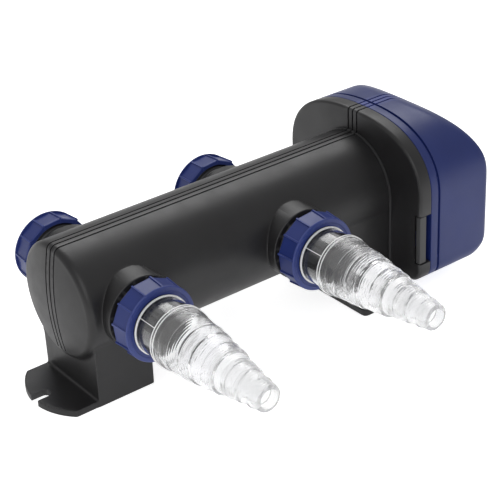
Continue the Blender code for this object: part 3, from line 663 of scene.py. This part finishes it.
def nut_angles():
    """Angles round the nut, close together at its ribs and wide apart on its flats."""
    shares = (0.0, 0.035, 0.05, 0.065, 0.2, 0.35, 0.5, 0.65, 0.8, 0.935, 0.95, 0.965)
    places = [k - 0.5 + share for k in range(NUT_FLATS) for share in shares]
    return [NUT_TURN + math.tau * place / NUT_FLATS for place in places]


def nut_outside():
    """(along, drop below the outer radius) pairs, from the nut's near edge over its far face."""
    outside = [(NUT_NEAR, 0.9), (NUT_NEAR + 0.15, 0.45), (NUT_NEAR + 0.6, 0.1), (NUT_NEAR + 1.1, 0.0)]
    outside += [(NUT_NEAR + 2 + 2.4 * i, 0.0) for i in range(6)]
    outside += [(NUT_FAR - NUT_RIM - back, 0.0) for back in (0.7, 0.5, 0.25, 0.0)]
    outside += [(NUT_FAR - 0.75, 0.0), (NUT_FAR - 0.35, 0.15), (NUT_FAR - 0.1, 0.45), (NUT_FAR, 0.9)]
    return outside + [(NUT_FAR, 3.2), (NUT_FAR - 0.35, 3.5), (NUT_FAR - 0.45, 4.6)]


def nut_inside():
    """(along, radius) pairs, from the lip that holds the tail back to the nut's near edge."""
    shoulder = NUT_FAR - NUT_LIP_DEPTH
    return [(NUT_FAR - 0.45, NUT_LIP + 0.5), (NUT_FAR - 0.9, NUT_LIP), (shoulder, NUT_LIP),
            (shoulder, NUT_BORE), (NUT_NEAR + 0.6, NUT_BORE), (NUT_NEAR, NUT_BORE + 0.6)]


def make_nut(name, x, facing, body, node):
    """A union nut. facing is -1 on the hose side and 1 on the rear."""
    angles = nut_angles()

    def at(angle, along, radius):
        return (x + radius * math.cos(angle), facing * along, AXIS_Z + radius * math.sin(angle))

    rings = [[at(a, along, nut_radius(a, along) - drop) for a in angles] for along, drop in nut_outside()]
    rings += [[at(a, along, radius) for a in angles] for along, radius in nut_inside()]
    dress(loft(name, rings, hollow=True), BLUE, body, node, sharp=28)


def barb_profile(start, end, first, last):
    """One barb: a rounded lip, then a taper with fine moulded ripples and a raised ring half way along."""
    points = [(start + 0.1, first - 0.7), (start + 0.35, first - 0.15), (start + 1.0, first)]
    middle = (start + end) / 2
    count = max(4, round((end - start) / (TAIL_RIPPLE_PITCH / 4)))
    for i in range(1, count):
        along = start + 1.0 + (end - start - 1.6) * i / count
        radius = first + (last - first) * (along - start) / (end - start)
        ripple = TAIL_RIPPLE * 0.5 * (math.cos(math.tau * (along - start - 1.0) / TAIL_RIPPLE_PITCH) - 1)
        ring = 0.5 * math.exp(-((along - middle) / 0.6) ** 2)
        points.append((along, radius + ripple + ring))
    return points + [(end - 0.3, last - 0.3)]


def tail_profile():
    """A flange, a plain neck, then barbs that narrow from 40 mm hose to 20 mm hose, with the bore inside."""
    flange_end = FLANGE_SEAT + FLANGE_DEPTH
    outer = [(FLANGE_SEAT, FLANGE_RADIUS), (flange_end, FLANGE_RADIUS), (flange_end, TAIL_NECK_RADIUS),
             (TAIL_NECK_END, TAIL_NECK_RADIUS)]
    inner = [(FLANGE_SEAT, TAIL_BORE), (TAIL_NECK_END, TAIL_BORE)]
    start = TAIL_NECK_END
    for end, first, last in TAIL_STEPS:
        outer += barb_profile(start, end, first, last)
        inner += [(start + 3.0, last - TAIL_WALL), (end, last - TAIL_WALL)]
        start = end
    outer[-1] = (start - 0.7, outer[-1][1] + 0.2)
    outer.append((start, TAIL_STEPS[-1][2] - 0.8))
    return outer + inner[::-1]


def neck_details(x):
    """The moulded beads round the neck's ends, and the mould line along it."""
    out = TAIL_NECK_RADIUS - 0.1
    line = (x + out * math.cos(MOULD_LINE_TURN), 0, AXIS_Z + out * math.sin(MOULD_LINE_TURN))
    near, far = NUT_FAR + 0.8, TAIL_NECK_END + 0.6
    details = [rod("mould_line", near, far, MOULD_LINE_RADIUS, line, (0, -1, 0), 12)]
    for near, far, proud in TAIL_BEADS:
        profile = ring_profile((near, far), (TAIL_NECK_RADIUS - 0.6, TAIL_NECK_RADIUS + proud))
        details.append(turned("bead", profile, (x, 0, AXIS_Z), (0, -1, 0), 160, soften=0.4))
    return details


def tail_surface(along, radial):
    """What a face shows: frosted beads and mould line, a clear neck, then cloudy barbs and milky tips."""
    raised = radial > TAIL_NECK_RADIUS + 0.03
    on_bead = any(near - 0.05 < along < far + 0.05 for near, far, _ in TAIL_BEADS)
    if raised and (on_bead or NUT_FAR < along <= TAIL_NECK_END):
        return FROSTED
    if along <= TAIL_NECK_END:
        return CLEAR
    return CLOUDY if along < TAIL_MILKY_FROM else MILKY


def make_tail(port, x):
    """The stepped hose tail, with its surface chosen face by face."""
    tail = turned(f"{port}_stepped_tail", tail_profile(), (x, 0, AXIS_Z), (0, -1, 0), 160)
    combine(tail, "UNION", neck_details(x))
    dress(tail, CLEAR, f"{port}_tail", f"{port}_hose_tail", sharp=50)
    for surface in TAIL_SURFACES[1:]:
        tail.data.materials.append(surface)
    for face in tail.data.polygons:
        centre = face.center * TO_MM
        surface = tail_surface(-centre.y, math.hypot(centre.x - x, centre.z - AXIS_Z))
        face.material_index = TAIL_SURFACES.index(surface)


def make_washer(port, x, facing, side):
    profile = ring_profile(SEAL_PLACE, SEAL_RADII)
    washer = turned(f"{port}_{side}_washer", profile, (x, 0, AXIS_Z), (0, facing, 0), 72, soften=0.5)
    dress(washer, RUBBER, "chamber", f"{port}_{side}_seal")


def make_plug(port, x):
    """The blanking plug in a rear nut: a flange and a shallow dished end."""
    flange_end = FLANGE_SEAT + FLANGE_DEPTH
    profile = ((FLANGE_SEAT, 0), (FLANGE_SEAT, FLANGE_RADIUS), (flange_end, FLANGE_RADIUS),
               (flange_end, PLUG_RADIUS), (PLUG_FACE, PLUG_RADIUS), (PLUG_FACE, 17.0), (PLUG_DISH, 16.0),
               (PLUG_DISH, 0))
    plug = turned(f"{port}_plug", profile, (x, 0, AXIS_Z), (0, 1, 0), 96, soften=0.4)
    dress(plug, BLUE, "chamber", f"{port}_blanking_plug")


def make_unions():
    for port, x in PORTS.items():
        make_nut(f"{port}_front_nut", x, -1, f"{port}_nut", f"{port}_union_nut")
        make_nut(f"{port}_blank_nut", x, 1, f"{port}_cap_nut", f"{port}_rear_nut")
        make_tail(port, x)
        make_washer(port, x, -1, "front")
        make_washer(port, x, 1, "rear")
        make_plug(port, x)


# ---------------------------------------------------------------- head

def edge_stations(x, inward, radius, steps=6):
    """(x, inset) pairs round a rounded edge, from the face at x to the side. inward points into the slab."""
    angles = [math.pi / 2 * i / steps for i in range(steps + 1)]
    return [(x + inward * radius * (1 - math.cos(a)), radius * (1 - math.sin(a))) for a in angles]


def arch_slab(name, stations):
    return loft(name, [[(x, y, z) for y, z in head_outline(inset)] for x, inset in stations])


def top_grooves(label, slab):
    """Cutters for the grooves over the top of a slab, given its places along X."""
    low, high = slab[0] - 3, slab[1] + 3
    deep = [(low, HEAD_TOP_Z - GROOVE_DEPTH), (high, HEAD_TOP_Z - GROOVE_DEPTH)]
    proud = [(low, HEAD_TOP_Z + 6), (high, HEAD_TOP_Z + 6)]
    return groove_cutters(label, deep, proud)


def face_grooves():
    """Cutters for the grooves up the base plate's near face, from the tube to the top."""
    low_z, high_z = AXIS_Z + CHAMBER_RADIUS - 2, HEAD_TOP_Z + 4
    deep_x, proud_x = BASE_X[0] + GROOVE_DEPTH, BASE_X[0] - 3
    return groove_cutters("face_groove", [(deep_x, low_z), (deep_x, high_z)],
                          [(proud_x, low_z), (proud_x, high_z)])


def latch_cutters(side):
    """A latch's recess behind its thin near wall, the mouth past that wall, and the pin's hole."""
    recess = sorted((side * LATCH_POCKET_Y, side * 90))
    mouth = sorted((side * LATCH_WALL_END_Y, side * 90))
    low_z, high_z = LATCH_Z[0] - 1, LATCH_Z[1] + 1
    near, far = BASE_X
    pin_place = (LATCH_PIN[0], side * LATCH_PIN[1], 0)
    return [block("latch_recess", (near + LATCH_WALL, recess[0], low_z), (far + 5, recess[1], high_z)),
            block("latch_mouth", (near - 5, mouth[0], low_z), (near + 3, mouth[1], high_z)),
            rod("pin_hole", LATCH_Z[0] - 6, LATCH_Z[1] + 6, LATCH_EYE_RADIUS, pin_place, UP, 24)]


def lid_spigot():
    """The ring that goes into the tube's end, with a groove round it for the O-ring."""
    inner, outer = LID_RADII
    near, far = LID_SPIGOT_X
    groove_near, groove_far = LID_GROOVE_X
    profile = ((near, inner), (near, outer), (groove_near, outer), (groove_near, LID_GROOVE_RADIUS),
               (groove_far, LID_GROOVE_RADIUS), (groove_far, outer), (far, outer), (far, inner))
    return on_axis("lid_spigot", profile, 96)


def make_base():
    stations = edge_stations(BASE_X[0], 1, PLATE_EDGE) + edge_stations(BASE_X[1], -1, RING_EDGE)[::-1]
    base = arch_slab("head_base_plate", stations)
    combine(base, "UNION", [lid_spigot(), on_axis("sleeve_neck", rod_profile(NECK_X, NECK_RADIUS), 72)])
    cutters = face_grooves() + top_grooves("base_groove", BASE_X)
    cutters.append(on_axis("neck_bore", rod_profile((240, 300), NECK_BORE), 64))
    cutters.append(on_axis("seal_seat", rod_profile((SEAL_SEAT_X, 300), SEAL_SEAT_RADIUS), 64))
    for side in (-1, 1):
        cutters += latch_cutters(side)
    for y, z in BASE_HOLES:
        cutters.append(rod("screw_hole", 250, 280, SCREW_HOLE, (0, y, z), ALONG, 24))
        cutters.append(rod("screw_head_seat", BASE_SEAT_X, 280, SCREW_SEAT, (0, y, z), ALONG, 32))
    combine(base, "DIFFERENCE", cutters)
    dress(base, BLACK, "chamber", "head_base")


def latch_outline():
    """A latch from above, on the rear side: its face, its hook and the eye round the pin."""
    x, out = LATCH_PIN
    eye = 2.0
    outline = [(x - 1.5, LATCH_FACE_Y), (LATCH_EDGE_X, LATCH_FACE_Y), (LATCH_EDGE_X, LATCH_HOOK_Y),
               (LATCH_HOOK_X, LATCH_HOOK_Y), (LATCH_HOOK_X, out + 0.7), (x + eye, out + 0.7)]
    return rounded(outline + arc((x, out), eye, 0, -180, 16), 0.5)


def make_latches():
    low, high = LATCH_Z
    for side, where in ((-1, "front"), (1, "rear")):
        pin_place = (LATCH_PIN[0], side * LATCH_PIN[1], 0)
        latch = prism(f"{where}_side_latch", [(u, side * v) for u, v in latch_outline()], in_xy, low, high)
        combine(latch, "DIFFERENCE", [rod("eye", low - 3, high + 3, LATCH_EYE_RADIUS, pin_place, UP, 24)])
        dress(latch, BLACK, f"{where}_catch", f"{where}_latch")
        pin = rod(f"{where}_hinge_pin", low - 5, high + 5, LATCH_PIN_RADIUS, pin_place, UP, 24)
        dress(pin, STEEL, "chamber", f"{where}_latch_pin")


def latch_barb(side):
    """The ring's barb that a latch hooks on to: an arm with a catch at its near end."""
    arm = ((277.8, 66.4), (267.6, 66.4), (267.6, 69.6), (269.2, 69.6), (269.2, 68.3), (277.8, 68.3))
    return prism("barb", [(u, side * v) for u, v in arm], in_xy, 42, 54)


def make_ring():
    step = RING_X[1] - JOINT_REACH
    stations = edge_stations(RING_X[0], 1, RING_EDGE) + edge_stations(step, -1, JOINT_EDGE)[::-1]
    stations += [(step, JOINT_DEPTH), (RING_X[1], JOINT_DEPTH)]
    tray = arch_slab("blue_head_ring", stations)
    cutters = top_grooves("ring_groove", RING_X)
    cutters.append(on_axis("ring_opening", rod_profile((260, 300), RING_OPENING), 96))
    for y, z in COVER_POSTS:
        cutters.append(rod("screw_hole", 260, 300, SCREW_HOLE, (0, y, z), ALONG, 24))
        cutters.append(rod("screw_seat", 260, RING_SEAT_X, SCREW_SEAT, (0, y, z), ALONG, 32))
    combine(tray, "DIFFERENCE", cutters)
    combine(tray, "UNION", [latch_barb(-1), latch_barb(1)])
    dress(tray, NAVY, "head", "head_ring")


def smooth_low(a, b, width):
    """The lower of two heights, blended over width where they cross."""
    if width < 1e-6:
        return min(a, b)
    share = min(1.0, max(0.0, 0.5 + 0.5 * (b - a) / width))
    return b * (1 - share) + a * share - width * share * (1 - share)


def cover_section(x, inset):
    """The cover's outline at x: the arch, clipped by the crown and drawn in round the far edges."""
    end = COVER_X[1] - inset
    corner = COVER_CORNER - inset
    draw = max(0.0, x - (end - COVER_EDGE)) / COVER_EDGE
    half = HEAD_HALF - COVER_EDGE * (1 - math.sqrt(max(0.0, 1 - draw ** 2)))
    lift = max(0.0, x - (end - corner)) / corner
    bottom = HEAD_BOTTOM_Z + corner * (1 - math.sqrt(max(0.0, 1 - lift ** 2)))
    top = crown_top(x, inset)
    width = CROWN_BLEND * min(1.0, max(0.0, (x - CROWN_X) / CROWN_BLEND_REACH))
    section = []
    for y, z in head_outline(inset, half, bottom):
        section.append((x, y, smooth_low(z, top, width) if z > CROWN_Z - 12 else z))
    return section


def cover_stations(inset, steps=36):
    """Places along X: a few on the straight part, then evenly round the crown's ellipse."""
    reach = COVER_X[1] - inset - CROWN_X
    straight = [COVER_X[0] + 3, COVER_X[0] + 6, CROWN_X - 5, CROWN_X]
    return straight + [CROWN_X + reach * math.sin(math.pi / 2 * i / steps) for i in range(1, steps + 1)]


def cover_shell():
    """The hollow cover: its inside from the far end to the mouth, then the joint's lip and its outside."""
    step = COVER_X[0] + JOINT_REACH
    lip = [(COVER_X[0], JOINT_DEPTH), (step, JOINT_DEPTH)] + edge_stations(step, 1, JOINT_EDGE)
    mouth = [(COVER_X[0], y, z) for y, z in head_outline(COVER_WALL)]
    inner = [mouth] + [cover_section(x, COVER_WALL) for x in cover_stations(COVER_WALL)]
    outer = [[(x, y, z) for y, z in head_outline(inset)] for x, inset in lip]
    outer += [cover_section(x, 0.0) for x in cover_stations(0.0)]
    return loft("blue_head_cover", inner[::-1] + outer)


def cover_posts():
    """The four screw posts, each with a web to the cover's side wall."""
    posts = []
    for y, z in COVER_POSTS:
        posts.append(rod("screw_post", COVER_X[0], POST_END_X, POST_RADIUS, (0, y, z), ALONG, 40))
        wall = math.copysign(74.5 if z < HEAD_SPRING_Z else 73.0, y)
        web = sorted((y, wall))
        posts.append(block("screw_web", (COVER_X[0], web[0], z - 1.2), (POST_END_X, web[1], z + 1.2)))
    return posts


def make_cover():
    cover = cover_shell()
    cutters = [rod("gland_hole", 320, 345, 6.3, (0, GLAND_Y, GLAND_Z), ALONG, 48)]
    cutters += groove_cutters("cover_groove", cover_crown(GROOVE_DEPTH), cover_crown(-6.0))
    combine(cover, "DIFFERENCE", cutters)
    combine(cover, "UNION", cover_posts())
    holes = [rod("post_hole", COVER_X[0] - 5, POST_HOLE_END_X, SCREW_HOLE, (0, y, z), ALONG, 24)
             for y, z in COVER_POSTS]
    combine(cover, "DIFFERENCE", holes)
    dress(cover, NAVY, "cover", "head_cover")


# ---------------------------------------------------------------- lamp, sleeve and electrics

def capped_tube(tip, radius, far, steps=10):
    """A rod profile with a round closed end at tip."""
    cap = [(tip + radius - u, v) for u, v in arc((0, 0), radius, 0, 90, steps)]
    cap[0] = (tip, 0.0)
    return cap + [(far, radius)]


def make_sleeve():
    """The quartz sleeve, a long test tube round the lamp."""
    outside = capped_tube(SLEEVE_TIP_X, SLEEVE_RADIUS, SLEEVE_END_X)
    inside = capped_tube(SLEEVE_TIP_X + SLEEVE_WALL, SLEEVE_RADIUS - SLEEVE_WALL, SLEEVE_END_X)
    sleeve = on_axis("quartz_tube", outside + inside[::-1], 72)
    dress(sleeve, QUARTZ, "chamber", "quartz_sleeve")


def make_seals():
    """The sleeve's gasket and the lid's O-ring."""
    gasket = on_axis("sleeve_gasket", ring_profile(GASKET_X, GASKET_RADII), 72, soften=0.8)
    dress(gasket, RUBBER, "chamber", "sleeve_seal")
    x, radius = O_RING_PLACE
    half_width, half_height = O_RING_HALF
    turns = [math.tau * i / 16 for i in range(16)]
    section = [(x + half_width * math.cos(t), radius + half_height * math.sin(t)) for t in turns]
    dress(on_axis("lid_o_ring", section[::-1], 96), RUBBER, "chamber", "head_o_ring")


def make_lamp():
    """The lamp's glass tube, its ceramic base with four pins, and the socket that they go in."""
    tube = on_axis("lamp_tube", capped_tube(LAMP_TIP_X, LAMP_RADIUS, LAMP_END_X) + [(LAMP_END_X, 0.0)], 64)
    dress(tube, LAMP_GLASS, "lamp", "uv_lamp")
    base = on_axis("lamp_cap", rod_profile(LAMP_BASE_X, LAMP_BASE_RADIUS), 64, soften=0.8)
    socket = on_axis("lamp_plug_socket", rod_profile(SOCKET_X, SOCKET_RADIUS), 64, soften=0.8)
    near, far = PIN_X
    places = around(4, PIN_CIRCLE, 0, AXIS_Z, math.pi / 4)
    combine(base, "UNION", [rod("pin", near, far, PIN_RADIUS, place, ALONG, 20) for place in places])
    holes = [rod("pin_hole", near, far + 1, PIN_HOLE_RADIUS, place, ALONG, 20) for place in places]
    combine(socket, "DIFFERENCE", holes)
    dress(base, WHITE, "lamp", "lamp_base")
    dress(socket, WHITE, "head", "lamp_socket")


def make_holder():
    """The cup that holds the lamp's socket."""
    mouth = COVER_X[0]
    floor, end = HOLDER_FLOOR_X
    inner = HOLDER_RADIUS - HOLDER_WALL
    profile = ((mouth, inner), (mouth, HOLDER_RADIUS), (end, HOLDER_RADIUS), (end, HOLDER_HOLE),
               (floor, HOLDER_HOLE), (floor, inner))
    dress(on_axis("socket_cup", profile, 72, soften=1.0), GREY, "head", "lamp_holder")


def make_sleeve_nut():
    """The sleeve's clamping nut, with finger ribs round it."""
    near, far = SLEEVE_NUT_X
    inner, outer = SLEEVE_NUT_RADII
    lip_x, lip = SLEEVE_NUT_LIP_X, SLEEVE_NUT_LIP_RADIUS
    profile = ((near, inner), (near, outer), (far, outer), (far, lip), (lip_x, lip), (lip_x, inner))
    nut = on_axis("sleeve_clamp_nut", profile, 96, soften=0.6)
    places = around(16, outer - 0.3, 0, AXIS_Z)
    combine(nut, "UNION", [rod("rib", near + 1.0, far - 1.4, 1.1, place, ALONG, 16) for place in places])
    dress(nut, GREY, "sleeve_lock", "sleeve_nut")


def make_ballast():
    """The potted control gear: a block with six shallow gaps across its top."""
    low, high = (Vector(c) * TO_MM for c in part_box("ballast"))
    outline = rounded(((low.y, low.z), (high.y, low.z), (high.y, high.z), (low.y, high.z)), 2.5)
    box = prism("ballast_block", outline, in_yz, low.x, high.x)
    gaps = []
    for i in range(6):
        near = low.x + 4 + 5 * i
        gaps.append(block("fin_gap", (near, low.y + 8, high.z - 1.5), (near + 2, high.y - 8, high.z + 3)))
    combine(box, "DIFFERENCE", gaps)
    dress(box, GREY, "head", "ballast")


def make_screw(name, x, direction, length, place, body, node):
    """A pan-head screw with a cross recess."""
    head, shank = 3.6, 1.8
    profile = ((0, 0), (0, head - 0.6), (0.7, head), (2.4, head), (2.4, shank), (length - 2, shank),
               (length, 0.5), (length, 0))
    screw = turned(name, profile, (x, *place), (direction, 0, 0), 32)
    y, z = place
    near, far = sorted((x - direction, x + 1.2 * direction))
    cross = [block("slot", (near, y - across, z - up), (far, y + across, z + up))
             for across, up in ((2.0, 0.35), (0.35, 2.0))]
    combine(screw, "DIFFERENCE", cross)
    dress(screw, STEEL, body, node)


def make_fixings():
    for i, place in enumerate(COVER_POSTS, 1):
        make_screw(f"cover_fixing_{i}", RING_X[0] + SCREW_INSET, 1, COVER_SCREW_LENGTH, place, "head",
                   f"cover_screw_{i}")
    for i, place in enumerate(BASE_HOLES, 1):
        make_screw(f"base_fixing_{i}", BASE_X[1] - SCREW_INSET, -1, BASE_SCREW_LENGTH, place, "chamber",
                   f"base_screw_{i}")


def make_gland():
    """The cable gland through the cover's far end, and its ribbed clamping nut."""
    place = (0, GLAND_Y, GLAND_Z)
    end = COVER_X[1]
    profile = ((end - 6, GLAND_BORE), (end - 6, 8.5), (end - 3, 8.5), (end - 3, GLAND_NECK),
               (end + 8, GLAND_NECK), (end + 8, GLAND_BORE))
    gland = turned("gland_body", profile, place, ALONG, 48, soften=0.4)
    dress(gland, BLACK, "cover", "cable_gland")
    profile = ((end + 0.4, 6.3), (end + 0.4, 8.6), (end + 9, 8.6), (end + 12.5, 6.0),
               (end + 12.5, GLAND_BORE), (end + 8.5, GLAND_BORE), (end + 8.5, 6.3))
    nut = turned("gland_cap", profile, place, ALONG, 48, soften=0.5)
    ribs = [rod("rib", end + 1, end + 8.6, 0.8, rib, ALONG, 12) for rib in around(12, 8.2, GLAND_Y, GLAND_Z)]
    combine(nut, "UNION", ribs)
    dress(nut, BLACK, "gland_clamp", "gland_nut")


# ---------------------------------------------------------------- studio

def brighter_seen(tree, lit, seen):
    """A strength for what shines on the object, and a higher one for what is seen directly or through it."""
    path = tree.nodes.new("ShaderNodeLightPath")
    either = tree.nodes.new("ShaderNodeMath")
    either.operation = "MAXIMUM"
    tree.links.new(path.outputs["Is Camera Ray"], either.inputs[0])
    tree.links.new(path.outputs["Is Transmission Ray"], either.inputs[1])
    return mapped(tree, either.outputs["Value"], lit, seen, 0.0, 1.0)


def make_floor():
    """A wide pale floor that glows faintly, so that the ground stays white to the frame's edges."""
    bm = bmesh.new()
    bmesh.ops.create_grid(bm, x_segments=1, y_segments=1, size=4000.0)
    floor = solid(bm, "studio_floor")
    floor.location.z = -FLOOR_GAP
    made, tree, shader = nodes_of("pale_floor")
    colour = tinted(tree, mapped(tree, noise(tree, 3.0), 0, 1), (0.86, 0.86, 0.86), (0.90, 0.90, 0.90))
    tree.links.new(colour, shader.inputs["Base Color"])
    shader.inputs["Roughness"].default_value = 0.9
    shader.inputs["Emission Color"].default_value = (1.0, 1.0, 1.0, 1.0)
    tree.links.new(brighter_seen(tree, *FLOOR_GLOW), shader.inputs["Emission Strength"])
    floor.data.materials.append(made)


def area_light(name, place, aim, size, power):
    data = bpy.data.lights.new(name, "AREA")
    data.shape = "RECTANGLE"
    data.size, data.size_y = size
    data.energy = power
    made = bpy.data.objects.new(name, data)
    made.location = place
    made.rotation_euler = (Vector(aim) - Vector(place)).to_track_quat("-Z", "Y").to_euler()
    bpy.context.scene.collection.objects.link(made)


def make_camera():
    scene = bpy.context.scene
    data = bpy.data.cameras.new("camera")
    data.lens = CAMERA_LENS
    data.sensor_width = CAMERA_SENSOR
    data.clip_start = 0.05
    data.clip_end = 50.0
    camera = bpy.data.objects.new("camera", data)
    look = (CAMERA_AIM - CAMERA_PLACE).to_track_quat("-Z", "Y").to_matrix().to_4x4()
    camera.matrix_world = Matrix.Translation(CAMERA_PLACE) @ look @ Matrix.Rotation(CAMERA_ROLL, 4, "Z")
    scene.collection.objects.link(camera)
    scene.camera = camera


def make_studio():
    scene = bpy.context.scene
    world = bpy.data.worlds.new("studio")
    world.use_nodes = True
    background = world.node_tree.nodes["Background"]
    background.inputs["Color"].default_value = (1.0, 1.0, 1.0, 1)
    tree = world.node_tree
    tree.links.new(brighter_seen(tree, *SKY_GLOW), background.inputs["Strength"])
    scene.world = world
    scene.view_settings.view_transform = "Standard"
    area_light("key", (-0.5, -1.0, 0.9), (0.1, 0, 0.06), size=(1.0, 1.0), power=4.5)
    area_light("top", (0.75, 0.75, 1.2), (0.15, 0, 0.05), size=(1.3, 0.8), power=9.0)
    make_floor()


make_camera()
make_studio()
make_chamber()
make_unions()
make_base()
make_latches()
make_ring()
make_cover()
make_sleeve()
make_seals()
make_lamp()
make_holder()
make_sleeve_nut()
make_ballast()
make_fixings()
make_gland()
